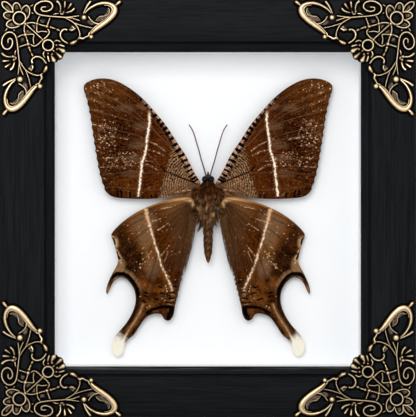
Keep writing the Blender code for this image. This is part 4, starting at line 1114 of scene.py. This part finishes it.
    core = wing.step(wing.plus(wing.value("streak"), wing.times(rough, 3.0)), 0.9, 0.0)
    tail = wing.step(wing.value("streak"), 3.4, 0.4)
    wing.lay((132, 92, 54), tail, 0.6)
    wing.lay((24, 10, 3), wing.step(wing.value("tail_border"), 2.8, 0.8), 0.9)
    wing.lay((206, 172, 128), core, 0.75)
    ragged = wing.plus(wing.value("notch"), wing.times(rough, 1.8))
    wing.lay((6, 3, 1), wing.step(ragged, 2.6, 1.5))
    wing.lay((66, 32, 9), patch(wing, (108, 286), (5, 11)), 0.8)
    spike_tip = wing.times(wing.step(y_px, 283.0, 293.0), wing.step(x_px, 116.0, 111.0))
    wing.lay((196, 138, 76), spike_tip)
    ragged = wing.plus(wing.value("lobe"), wing.times(rough, 1.8))
    wing.lay((6, 3, 1), wing.step(ragged, 2.1, 1.1))
    light_edge = wing.times(wing.step(wing.value("scallop"), 3.2, 1.5), wing.step(outward, 20.0, 26.0))
    wing.lay((206, 168, 122), wing.times(light_edge, wing.step(scale, 0.35, 0.6)))
    wing.lay((6, 3, 1), wing.step(wing.value("scallop"), 1.3, 0.8))
    rim = wing.times(wing.step(edge, 1.5, 0.5), wing.step(y_px, 268.0, 276.0))
    wing.lay((58, 28, 9), rim, 0.85)
    ragged = wing.plus(wing.value("mark"), wing.times(rough, 2.0))
    wing.lay((6, 3, 1), wing.step(ragged, 1.1, 0.5))
    ladder = wing.math("SINE", wing.plus(wing.times(y_px, 2.3), wing.times(scale, 6.0)))
    ladder = wing.times(wing.step(ladder, 0.1, 0.7), patch(wing, (177.5, 285), (5, 15), 0.6))
    wing.lay((10, 4, 1), ladder, 0.85)
    slant = wing.plus(y_px, wing.times(wing.math("SUBTRACT", wing.noise(where, 0.8, 3.0), 0.5), 12.0))
    slant = wing.math("SUBTRACT", slant, wing.times(wing.step(x_px, 118.0, 128.0), 9.0))
    slant = wing.plus(slant, wing.times(wing.step(wing.value("streak"), 1.6, 0.2), 6.0))
    ivory = wing.mix(wing.step(wing.plus(edge, scale), 0.3, 1.8), linear(240, 229, 208),
                     linear(246, 239, 222))
    ivory = wing.mix(wing.times(wing.step(wing.value("vein"), 2.0, 0.6), 0.4), ivory, linear(204, 182, 150))
    wing.lay(ivory, wing.step(slant, 327.0, 342.0))
    wing.bump(wing.plus(streak, wing.times(scale, 0.6)), 0.06 * MM, 0.8)
    return wing.done(wing.ground)


def make_wings():
    shades = {"forewing": forewing_scales(), "hindwing": hindwing_scales()}
    forewing = scalloped(smooth_outline(FOREWING_PX, 24), 106.0, 94.0, 188.0)
    hindwing = smooth_outline(HINDWING_PX, 4)
    build = {
        "forewing": (forewing, forewing_fields, FOREWING_ROOT, FOREWING_VEINS_PX + TRUNK_PX),
        "hindwing": (hindwing, hindwing_fields, HINDWING_ROOT, HINDWING_VEINS_PX),
    }
    for name, (outline, fields, root_height, veins) in build.items():
        for side, place in ((1, "left"), (-1, "right")):
            mesh = wing_mesh(f"{place}_{name}", outline, fields, root_height, side, veins)
            dressed(f"{place}_{name}", mesh, shades[name], [f"moth_{name}_{place}"])


# The moth's hair, eyes and antennae

HAIR_TURNS = np.radians((90, 210, 330))
THORAX_HAIRS = 9000
THORAX_TUFTS = 330
ABDOMEN_HAIRS = 4200
EDGE_HAIRS = 2700
COAT_HAIRS = 1700
SHOULDER_HAIRS = 1500
SHOULDER_TUFTS = 60
EDGE_TUFTS = 190
SKIRT_HAIRS = 130
PALP_HAIRS = 300
# Tips of the long tufts over the root of the abdomen: distance from the middle line and height
LEFT_SKIRT_PX = [(13.4, 217.5), (12.8, 221.0), (11.6, 224.5), (11.0, 231.5), (8.8, 227.0), (6.4, 225.4),
                 (3.0, 226.0)]
RIGHT_SKIRT_PX = [(13.4, 217.0), (12.4, 219.6), (10.4, 222.4), (8.4, 226.4), (6.8, 224.0), (4.8, 226.6),
                  (1.0, 228.0)]
ABDOMEN_RINGS_PX = (229.0, 236.0, 243.0, 250.0, 257.0)
EYE_REACH_PX = (3.25, 2.6, 3.4)
EYE_OUT_PX = 3.0
EYE_LEVEL_PX = 179.3
EYE_FORWARD_PX = 1.7


def hair_mesh(name, roots, tips, bends, width, tone, warmth):
    """Many fine hairs, each a three-sided spike bent at its middle, with its tone kept on its points."""
    count = len(roots)
    run = tips - roots
    run /= np.linalg.norm(run, axis=1)[:, None]
    across = np.cross(run, (0.0, 1.0, 0.001))
    across /= np.linalg.norm(across, axis=1)[:, None]
    rise = np.cross(run, across)
    rings = []
    for middle, share in ((roots, 1.0), ((roots + tips) / 2 + bends, 0.75)):
        for turn in HAIR_TURNS:
            spread = np.cos(turn) * across + np.sin(turn) * rise
            rings.append(middle + spread * (width * share)[:, None])
    points = np.stack([*rings, tips], axis=1).reshape(-1, 3)
    pattern = [(0, 1, 4, 3), (1, 2, 5, 4), (2, 0, 3, 5), (3, 4, 6), (4, 5, 6), (5, 3, 6), (2, 1, 0)]
    faces = [tuple(start + i for i in face) for start in range(0, count * 7, 7) for face in pattern]
    mesh = bpy.data.meshes.new(name)
    mesh.from_pydata(points.tolist(), [], faces)
    for label, values in (("tone", tone), ("warmth", warmth)):
        spread = np.repeat(values, 7).astype(np.float32)
        mesh.attributes.new(label, "FLOAT", "POINT").data.foreach_set("value", spread)
    mesh.update()
    bm = bmesh.new()
    bm.from_mesh(mesh)
    bmesh.ops.recalc_face_normals(bm, faces=bm.faces)
    bm.to_mesh(mesh)
    bm.free()
    return mesh


def body_half_width(y_px):
    return np.interp(y_px, [y for y, r in BODY_PX], [r for y, r in BODY_PX])


def core_half_width(y_px):
    """The body under its hair, drawn in between the rings of the abdomen."""
    share = np.interp(y_px, (178.0, 184.0, 213.0, 221.0, 228.0), (0.86, 0.76, 0.74, 0.56, 0.88))
    for ring in ABDOMEN_RINGS_PX:
        share = share * (1 - 0.15 * np.exp(-((y_px - ring) / 1.1) ** 2))
    return body_half_width(y_px) * share


def body_spots(turn, out_px, y_px):
    """Places round the body: turn 0 faces the front, out_px from its middle line."""
    body_y = BOARD_Y - BODY_HEIGHT
    axis_x, middle_z = from_photo(MOTH_AXIS_PX, BODY_MIDDLE_PX, body_y)
    _, z = from_photo(0, y_px, body_y)
    scale = photo_scale(body_y)
    x = axis_x + np.sin(turn) * out_px * scale
    y = -np.cos(turn) * out_px * scale * BODY_SQUASH
    z = z - middle_z
    return np.stack((x, body_y + y + BODY_TILT * z, middle_z + z - BODY_TILT * y), axis=-1)


def moth_fur():
    fur = Finish("brown_fur", roughness=0.8, Specular_IOR_Level=0.04)
    tone = fur.value("tone")
    grey = fur.ramp(tone, 0.0, 1.0, [
        (0.0, linear(20, 9, 3)), (0.3, linear(60, 35, 17)), (0.6, linear(118, 82, 50)),
        (0.85, linear(178, 138, 96)), (1.0, linear(220, 190, 150)),
    ])
    warm = fur.ramp(tone, 0.0, 1.0, [
        (0.0, linear(22, 8, 1)), (0.35, linear(74, 36, 8)), (0.7, linear(132, 78, 28)),
        (1.0, linear(186, 128, 66)),
    ])
    return fur.done(fur.mix(fur.value("warmth"), grey, warm))


def make_body(fur):
    draw = np.random.default_rng(7)
    heights = np.append(np.arange(BODY_PX[0][0], BODY_PX[-1][0], 0.8), BODY_PX[-1][0])
    body_y = BOARD_Y - BODY_HEIGHT
    axis_x, middle_z = from_photo(MOTH_AXIS_PX, BODY_MIDDLE_PX, body_y)
    bm = bmesh.new()
    profile = []
    for y_px in heights:
        out = core_half_width(y_px) * photo_scale(body_y)
        profile.append(bm.verts.new((out, 0, from_photo(0, y_px, body_y)[1] - middle_z)))
    for start, end in zip(profile, profile[1:]):
        bm.edges.new((start, end))
    bmesh.ops.spin(bm, geom=[*bm.verts, *bm.edges], cent=(0, 0, 0), axis=(0, 0, 1), angle=2 * math.pi,
                   steps=BODY_SIDES, use_merge=True)
    bmesh.ops.remove_doubles(bm, verts=bm.verts, dist=1e-6)
    lean = Matrix(((1, 0, 0, axis_x), (0, BODY_SQUASH, BODY_TILT, body_y),
                   (0, -BODY_TILT * BODY_SQUASH, 1, middle_z), (0, 0, 0, 1)))
    bmesh.ops.transform(bm, matrix=lean, verts=bm.verts)
    bmesh.ops.recalc_face_normals(bm, faces=bm.faces)
    skin = Finish("scaled_skin", roughness=0.6, Specular_IOR_Level=0.15)
    grain = skin.noise(skin.place(), 2.0, 4.0, 0.7)
    skin.bump(grain, 0.08 * MM, 0.8)
    brown = skin.mix(skin.step(grain, 0.35, 0.68), linear(28, 17, 9), linear(88, 58, 36))
    finished("body_core", bm, skin.done(brown), ["moth_body"])

    # Tufts of long hair on the thorax, all lying towards the tail
    tuft_y = draw.uniform(181.5, 221.0, THORAX_TUFTS)
    tuft_turn = draw.uniform(-1.9, 1.9, THORAX_TUFTS)
    tuft_tone = np.clip(draw.normal(0.45, 0.32, THORAX_TUFTS), 0.0, 1.0)
    tuft_tone += 0.3 * np.exp(-((tuft_y - 216) / 4) ** 2) * np.exp(-(tuft_turn / 0.6) ** 2)
    tuft_long = draw.uniform(5.0, 10.0, THORAX_TUFTS) * np.interp(tuft_y, (181.5, 190.0), (0.5, 1.0))
    tuft_sway = draw.normal(0, 0.14, THORAX_TUFTS) + 0.1 * tuft_turn
    pick = draw.integers(0, THORAX_TUFTS, THORAX_HAIRS)
    root_y = np.clip(tuft_y[pick] + draw.normal(0, 1.5, THORAX_HAIRS), 181.0, 223.0)
    root_turn = tuft_turn[pick] + draw.normal(0, 0.17, THORAX_HAIRS)
    tip_y = np.minimum(tuft_y[pick] + tuft_long[pick] + draw.normal(0, 0.8, THORAX_HAIRS), 229.5)
    tip_y = np.maximum(tip_y, root_y + 1.2)
    tip_turn = tuft_turn[pick] + tuft_sway[pick] + draw.normal(0, 0.06, THORAX_HAIRS)
    reach = draw.uniform(0.66, 1.0, THORAX_TUFTS)[pick] * draw.uniform(0.95, 1.0, THORAX_HAIRS)
    reach = np.where(tip_y < 214, np.maximum(reach, 0.86), reach)
    roots = body_spots(root_turn, core_half_width(root_y) * 0.98, root_y)
    tips = body_spots(tip_turn, body_half_width(tip_y) * reach, tip_y)
    middle_y, middle_turn = (root_y + tip_y) / 2, (root_turn + tip_turn) / 2
    bends = body_spots(middle_turn, body_half_width(middle_y) * 0.97, middle_y) - (roots + tips) / 2
    width = draw.uniform(0.04, 0.07, THORAX_HAIRS) * MM
    tone = tuft_tone[pick] * np.interp(root_y, (181, 196), (0.42, 1.0)) + draw.normal(0, 0.12, THORAX_HAIRS)
    tone = np.clip(tone, 0, 1)
    warmth = np.interp(root_y, (181, 190, 203), (1.0, 0.8, 0.2)) + draw.normal(0, 0.12, THORAX_HAIRS)
    warmth = np.clip(warmth, 0, 1)
    thorax = hair_mesh("thorax_hair", roots, tips, bends, width, tone, warmth)
    dressed("thorax_hair", thorax, fur, ["moth_body"], smooth=False)

    # Longer tufts that hang in points over the root of the abdomen
    root_places, tip_places, tones = [], [], []
    for side, tufts in ((-1, LEFT_SKIRT_PX), (1, RIGHT_SKIRT_PX)):
        for out, low in tufts:
            tip_y = low + draw.normal(0, 0.9, SKIRT_HAIRS)
            tip_out = out + draw.normal(0, 0.35, SKIRT_HAIRS)
            root_y = low - draw.uniform(7.0, 13.0, SKIRT_HAIRS)
            root_turn = side * np.clip(out / 13.0 + draw.normal(0, 0.16, SKIRT_HAIRS), 0.0, 1.4)
            root_places.append(body_spots(root_turn, core_half_width(root_y) * 0.98, root_y))
            tip_turn = np.full(SKIRT_HAIRS, side * min(max(out / 9.0, 0.35), 1.3))
            tip_places.append(body_spots(tip_turn, tip_out / abs(math.sin(tip_turn[0])), tip_y))
            tones.append(np.clip(draw.uniform(0.25, 0.6) + draw.normal(0, 0.14, SKIRT_HAIRS), 0, 1))
    roots, tips, tone = (np.concatenate(parts) for parts in (root_places, tip_places, tones))
    bends = np.zeros((len(roots), 3))
    bends[:, 1] = -draw.uniform(0.2, 0.6, len(roots)) * MM
    width = draw.uniform(0.035, 0.055, len(roots)) * MM
    skirt = hair_mesh("skirt_hair", roots, tips, bends, width, tone, np.full(len(roots), 0.25))
    dressed("skirt_hair", skirt, fur, ["moth_body"], smooth=False)

    # Short hair on the abdomen, darker in its rings
    root_y = draw.uniform(221.0, 261.0, ABDOMEN_HAIRS)
    root_turn = draw.uniform(-2.2, 2.2, ABDOMEN_HAIRS)
    tip_y = np.minimum(root_y + draw.uniform(1.4, 2.8, ABDOMEN_HAIRS), 263.2)
    tip_turn = root_turn + draw.normal(0, 0.1, ABDOMEN_HAIRS)
    roots = body_spots(root_turn, core_half_width(root_y) * 0.97, root_y)
    tip_ring = np.min([np.abs(tip_y - ring) for ring in ABDOMEN_RINGS_PX], axis=0)
    tip_out = body_half_width(tip_y) * draw.uniform(0.88, 1.0, ABDOMEN_HAIRS)
    tip_out *= 1 - 0.1 * np.exp(-tip_ring ** 2)
    tips = body_spots(tip_turn, tip_out, tip_y)
    nearest_ring = np.min([np.abs(root_y - ring) for ring in ABDOMEN_RINGS_PX], axis=0)
    patches = 0.26 * np.sin(root_y * 1.9 + root_turn * 2.3) * np.cos(root_y * 0.7 - root_turn * 3.1)
    tone = 0.16 + 0.12 * np.minimum(nearest_ring, 3) + 0.2 * np.exp(-(root_turn / 0.5) ** 2) + patches
    tone = np.clip(tone + draw.normal(0, 0.12, ABDOMEN_HAIRS), 0, 1)
    width = draw.uniform(0.05, 0.085, ABDOMEN_HAIRS) * MM
    warmth = np.clip(np.interp(root_y, (226, 258), (0.2, 0.75)) + draw.normal(0, 0.1, ABDOMEN_HAIRS), 0, 1)
    abdomen = hair_mesh("abdomen_hair", roots, tips, np.zeros((ABDOMEN_HAIRS, 3)), width, tone, warmth)
    dressed("abdomen_hair", abdomen, fur, ["moth_body"], smooth=False)

    # The palps between the eyes
    root_turn = draw.uniform(-1.4, 1.4, PALP_HAIRS)
    root_y = draw.uniform(174.6, 176.8, PALP_HAIRS)
    tip_y = np.clip(root_y - draw.uniform(1.5, 4.0, PALP_HAIRS), 171.9, 177.0)
    roots = body_spots(root_turn, core_half_width(root_y) * draw.uniform(0.05, 0.35, PALP_HAIRS), root_y)
    tips = body_spots(root_turn * 0.6, body_half_width(tip_y) * draw.uniform(0.2, 0.9, PALP_HAIRS), tip_y)
    tone = draw.uniform(0.0, 0.3, PALP_HAIRS)
    palps = hair_mesh("palp_hair", roots, tips, np.zeros((PALP_HAIRS, 3)), np.full(PALP_HAIRS, 0.045 * MM),
                      tone, tone)
    dressed("palp_hair", palps, fur, ["moth_body"], smooth=False)


def make_shoulder_hair(fur):
    """Tufts from the sides of the thorax that lie out over the wing bases."""
    for side, place in ((1, "left"), (-1, "right")):
        draw = np.random.default_rng(40 + side)
        tuft_y = np.linspace(186.0, 212.0, SHOULDER_TUFTS)
        tuft_out = draw.uniform(13.2, 18.0, SHOULDER_TUFTS) - 4.0 * np.exp(-((tuft_y - 200) / 4.5) ** 2)
        tuft_drop = draw.uniform(1.5, 6.5, SHOULDER_TUFTS)
        tuft_tone = np.clip(draw.normal(0.42, 0.2, SHOULDER_TUFTS), 0.05, 0.66)
        pick = draw.integers(0, SHOULDER_TUFTS, SHOULDER_HAIRS)
        root_y = tuft_y[pick] + draw.normal(0, 0.9, SHOULDER_HAIRS)
        root_turn = -side * draw.uniform(0.7, 1.4, SHOULDER_HAIRS)
        roots = body_spots(root_turn, core_half_width(root_y), root_y)
        tip_out = tuft_out[pick] + draw.normal(0, 0.6, SHOULDER_HAIRS)
        tip_y = np.minimum(tuft_y[pick] + tuft_drop[pick] + draw.normal(0, 0.4, SHOULDER_HAIRS), 217.0)
        spots = np.stack((MOTH_AXIS_PX - tip_out, tip_y), axis=1)
        lifts = draw.uniform(0.3, 0.8, SHOULDER_HAIRS) * MM
        on_forewing = wing_spots(spots, lifts, FOREWING_ROOT, side)
        on_hindwing = wing_spots(spots, lifts, HINDWING_ROOT, side)
        tips = np.where((tip_y < 196.5)[:, None], on_forewing, on_hindwing)
        bends = np.zeros((SHOULDER_HAIRS, 3))
        bends[:, 1] = -draw.uniform(0.2, 0.5, SHOULDER_HAIRS) * MM
        width = draw.uniform(0.04, 0.065, SHOULDER_HAIRS) * MM
        tone = np.clip(tuft_tone[pick] + draw.normal(0, 0.1, SHOULDER_HAIRS), 0, 1)
        warmth = np.clip(np.interp(root_y, (184, 190, 200, 206), (1.0, 0.7, 0.6, 0.1)), 0, 1)
        mesh = hair_mesh(f"{place}_shoulder_hair", roots, tips, bends, width, tone, warmth)
        dressed(f"{place}_shoulder_hair", mesh, fur, ["moth_body"], smooth=False)


def make_eyes():
    shine = Finish("black_eye", roughness=0.1, Specular_IOR_Level=0.14)
    sheen = shine.noise(shine.place(), 1.2, 3.0)
    eye = shine.done(shine.mix(shine.step(sheen, 0.4, 0.7), linear(1, 1, 1), linear(12, 7, 4)))
    body_y = BOARD_Y - BODY_HEIGHT
    scale = photo_scale(body_y)
    bm = bmesh.new()
    for side in (-1, 1):
        made = bmesh.ops.create_uvsphere(bm, u_segments=24, v_segments=16, radius=1.0)
        bmesh.ops.scale(bm, vec=Vector(EYE_REACH_PX) * scale, verts=made["verts"])
        x, z = from_photo(MOTH_AXIS_PX + side * EYE_OUT_PX, EYE_LEVEL_PX, body_y)
        bmesh.ops.translate(bm, vec=(x, body_y - EYE_FORWARD_PX * scale, z), verts=made["verts"])
    finished("eyes", bm, eye, ["moth_body"])


def make_antennae():
    horn = Finish("antenna_horn", roughness=0.5, Specular_IOR_Level=0.15)
    rings = horn.step(horn.math("SINE", horn.times(horn.value("along"), 260.0)), -0.2, 0.6)
    tint = horn.ramp(horn.value("along"), 0.0, 1.0, [
        (0.0, linear(52, 38, 34)), (0.5, linear(90, 58, 50)), (0.8, linear(124, 66, 42)),
        (1.0, linear(90, 36, 20)),
    ])
    horn.bump(rings, 0.04 * MM, 0.7)
    finish = horn.done(horn.mix(horn.times(rings, 0.3), tint, linear(36, 24, 18)))
    root_y = BOARD_Y - ANTENNA_HEIGHT
    axis_x, _ = from_photo(MOTH_AXIS_PX, 0, root_y)
    knots = [ANTENNA_SOCKET_PX, *ANTENNA_PX]
    base_z, tip_z = (from_photo(0, y, root_y)[1] for y in (knots[0][1], knots[-1][1]))
    for side, place in ((1, "left"), (-1, "right")):
        shaft = []
        for index, spot in enumerate(knots):
            x, z = from_photo(*spot, root_y)
            taper = 1.0 - ANTENNA_TAPER * index / (len(knots) - 1)
            shaft.append(((axis_x - side * (axis_x - x), root_y, z), taper))
        bm = bmesh.new()
        bm.from_mesh(tubes([(shaft, False)], ANTENNA_RADIUS, 2, 6))
        bmesh.ops.remove_doubles(bm, verts=bm.verts, dist=1e-6)
        along = bm.verts.layers.float.new("along")
        for vert in bm.verts:
            vert[along] = (vert.co.z - base_z) / (tip_z - base_z)
        bmesh.ops.recalc_face_normals(bm, faces=bm.faces)
        finished(f"{place}_antenna", bm, finish, [f"moth_antenna_{place}"])


def make_wing_hair(fur):
    """The long soft hair at the inner edge of each hindwing and the coat beside it."""
    for side, place in ((1, "left"), (-1, "right")):
        draw = np.random.default_rng(20 + side)
        edge = np.array(HAIR_EDGE_PX)
        run = EDGE_HAIR_LOW_PX - EDGE_HAIR_TOP_PX
        tuft_y = EDGE_HAIR_TOP_PX + run * draw.uniform(0, 1, EDGE_TUFTS) ** 1.2
        tuft_short = draw.uniform(0, 1, EDGE_TUFTS) * np.interp(tuft_y, (221, 270, 303), (3.6, 3.4, 1.4))
        pick = draw.integers(0, EDGE_TUFTS, EDGE_HAIRS)
        tip_y = tuft_y[pick] + draw.normal(0, 0.5, EDGE_HAIRS)
        tip_x = np.interp(tip_y, edge[:, 1], edge[:, 0]) - tuft_short[pick]
        tip_x -= np.abs(draw.normal(0, 0.3, EDGE_HAIRS))
        long = np.interp(tip_y, (221, 262, 300), (8.5, 7.0, 3.5)) * draw.uniform(0.8, 1.2, EDGE_HAIRS)
        lean = np.radians(draw.normal(0, 5, EDGE_TUFTS)[pick] + draw.normal(27, 2.5, EDGE_HAIRS))
        root_x, root_y = tip_x - long * np.sin(lean), tip_y - long * np.cos(lean)
        coat_y = draw.uniform(206.0, 268.0, COAT_HAIRS)
        inner = np.interp(coat_y, edge[:, 1], edge[:, 0])
        coat_x = inner - 1.0 - draw.uniform(0, 1, COAT_HAIRS) ** 1.6 * np.interp(coat_y, (206, 268), (9, 25))
        ray = np.stack((coat_x, coat_y), axis=1) - COAT_FAN_PX
        ray /= np.linalg.norm(ray, axis=1)[:, None]
        coat_long = draw.uniform(4.0, 7.0, COAT_HAIRS)
        root_spots = np.stack((np.append(root_x, coat_x), np.append(root_y, coat_y)), axis=1)
        tip_spots = np.stack((np.append(tip_x, coat_x + ray[:, 0] * coat_long),
                              np.append(tip_y, coat_y + ray[:, 1] * coat_long)), axis=1)
        total = EDGE_HAIRS + COAT_HAIRS
        roots = wing_spots(root_spots, np.full(total, 0.1 * MM), HINDWING_ROOT, side)
        tips = wing_spots(tip_spots, draw.uniform(0.0, 0.4, total) * MM, HINDWING_ROOT, side)
        bends = np.zeros((total, 3))
        bends[:, 1] = -draw.uniform(0.1, 0.25, total) * MM
        tone = np.clip(draw.normal(0.42, 0.14, total), 0, 1)
        tone[:EDGE_HAIRS] += np.interp(root_y, (215, 270), (0.16, 0.02))
        width = draw.uniform(0.03, 0.05, total) * MM
        mesh = hair_mesh(f"{place}_hindwing_hair", roots, tips, bends, width, tone, np.full(total, 0.35))
        dressed(f"{place}_hindwing_hair", mesh, fur, [f"moth_hindwing_{place}"], smooth=False)


# The back: hardboard panel, framer's points and a sawtooth hanger

def make_back():
    board = Finish("pressed_hardboard", roughness=0.7)
    where = board.place()
    fibres = board.noise(board.place((1, 1, 1)), 1.6, 6.0, 0.7, 1.2)
    blotch = board.noise(where, 0.05, 3.0)
    specks = board.step(board.noise(where, 3.2, 2.0), 0.62, 0.7)
    brown = board.mix(board.step(fibres, 0.3, 0.7), linear(98, 66, 40), linear(152, 112, 74))
    brown = board.mix(board.times(blotch, 0.5), brown, linear(124, 86, 54))
    brown = board.mix(board.times(specks, 0.6), brown, linear(70, 46, 30))
    board.bump(fibres, 0.12 * MM, 0.6)
    assign("back_panel", board.done(brown))
    zinc = Finish("zinc_plate", metallic=1.0)
    _, tone = zinc.cells(zinc.place(), 0.9)
    scratch = zinc.noise(zinc.place((0.15, 1, 4.0)), 3.0, 3.0)
    grey = zinc.mix(tone, linear(165, 168, 172), linear(206, 209, 213))
    zinc.bump(scratch, 0.02 * MM, 0.5)
    point_finish = zinc.done(grey, zinc.plus(0.28, zinc.times(scratch, 0.25)))
    for side in ("left", "right", "top", "bottom"):
        for number in (1, 2):
            assign(f"framers_point_{side}_{number}", point_finish)
    plate = Finish("brassed_plate", metallic=1.0)
    wipe = plate.noise(plate.place((0.3, 1, 2.0)), 2.0, 4.0)
    spots = plate.step(plate.noise(plate.place(), 0.8, 3.0), 0.58, 0.72)
    gold = plate.mix(plate.times(spots, 0.5), linear(214, 180, 112), linear(120, 92, 52))
    plate.bump(wipe, 0.02 * MM, 0.5)
    hanger_finish = plate.done(gold, plate.plus(0.25, plate.times(wipe, 0.3)))
    assign("sawtooth_hanger", hanger_finish)
    for side in ("left", "right"):
        low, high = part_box(f"hanger_rivet_{side}")
        middle, radius = (low + high) / 2, (high.x - low.x) / 2
        bm = bmesh.new()
        bmesh.ops.create_uvsphere(bm, u_segments=20, v_segments=12, radius=radius)
        ball = [*bm.verts, *bm.edges, *bm.faces]
        bmesh.ops.bisect_plane(bm, geom=ball, plane_co=(0, 0, 0), plane_no=(0, 1, 0), clear_inner=True)
        bmesh.ops.holes_fill(bm, edges=bm.edges)
        bmesh.ops.scale(bm, vec=(1, (high.y - low.y) / radius, 1), verts=bm.verts)
        bmesh.ops.translate(bm, vec=(middle.x, low.y, middle.z), verts=bm.verts)
        bmesh.ops.recalc_face_normals(bm, faces=bm.faces)
        finished(f"{side}_hanger_nail", bm, hanger_finish, [f"hanger_rivet_{side}"])


# Floor, light and camera

def make_studio():
    floor_finish = Finish("pale_floor", roughness=0.7).done(linear(226, 226, 226))
    bm = bmesh.new()
    bmesh.ops.create_circle(bm, cap_ends=True, segments=64, radius=3.0)
    mesh = bpy.data.meshes.new("floor")
    bm.to_mesh(mesh)
    bm.free()
    mesh.materials.append(floor_finish)
    floor = link(bpy.data.objects.new("floor", mesh))
    world = bpy.context.scene.world or bpy.data.worlds.new("studio")
    bpy.context.scene.world = world
    world.use_nodes = True
    world.node_tree.nodes["Background"].inputs["Color"].default_value = (0.985, 0.99, 1.0, 1)
    world.node_tree.nodes["Background"].inputs["Strength"].default_value = 0.6
    middle = Vector((0, 0, FRAME_HEIGHT / 2))
    softbox("key", Vector((-0.2, -1.3, 0.6)), middle, 0.7, 8.5)
    softbox("fill", Vector((0.9, -1.2, 0.35)), middle, 0.9, 2)
    softbox("back", Vector((0.5, 1.3, 0.9)), middle, 0.9, 9)


def softbox(name, place, aim, size, watts):
    light = bpy.data.lights.new(name, "AREA")
    light.size = size
    light.energy = watts
    obj = link(bpy.data.objects.new(name, light))
    obj.location = place
    obj.rotation_euler = (aim - place).to_track_quat("-Z", "Y").to_euler()


def make_camera():
    camera = bpy.data.cameras.new("camera")
    camera.sensor_fit = "HORIZONTAL"
    seen_width = PHOTO_SIZE_PX[0] * photo_scale(FACE_Y)
    camera.lens = camera.sensor_width * VIEW_DISTANCE / seen_width
    obj = link(bpy.data.objects.new("camera", camera))
    x, z = from_photo(PHOTO_SIZE_PX[0] / 2, PHOTO_SIZE_PX[1] / 2, FACE_Y)
    obj.location = (x, FACE_Y - VIEW_DISTANCE, z)
    obj.rotation_euler = (math.radians(90), 0, 0)
    bpy.context.scene.camera = obj
    bpy.context.scene.view_settings.view_transform = "Standard"


make_frame()
make_infill()
make_corners()
make_wings()
brown_fur = moth_fur()
make_body(brown_fur)
make_shoulder_hair(brown_fur)
make_eyes()
make_antennae()
make_wing_hair(brown_fur)
make_back()
make_studio()
make_camera()
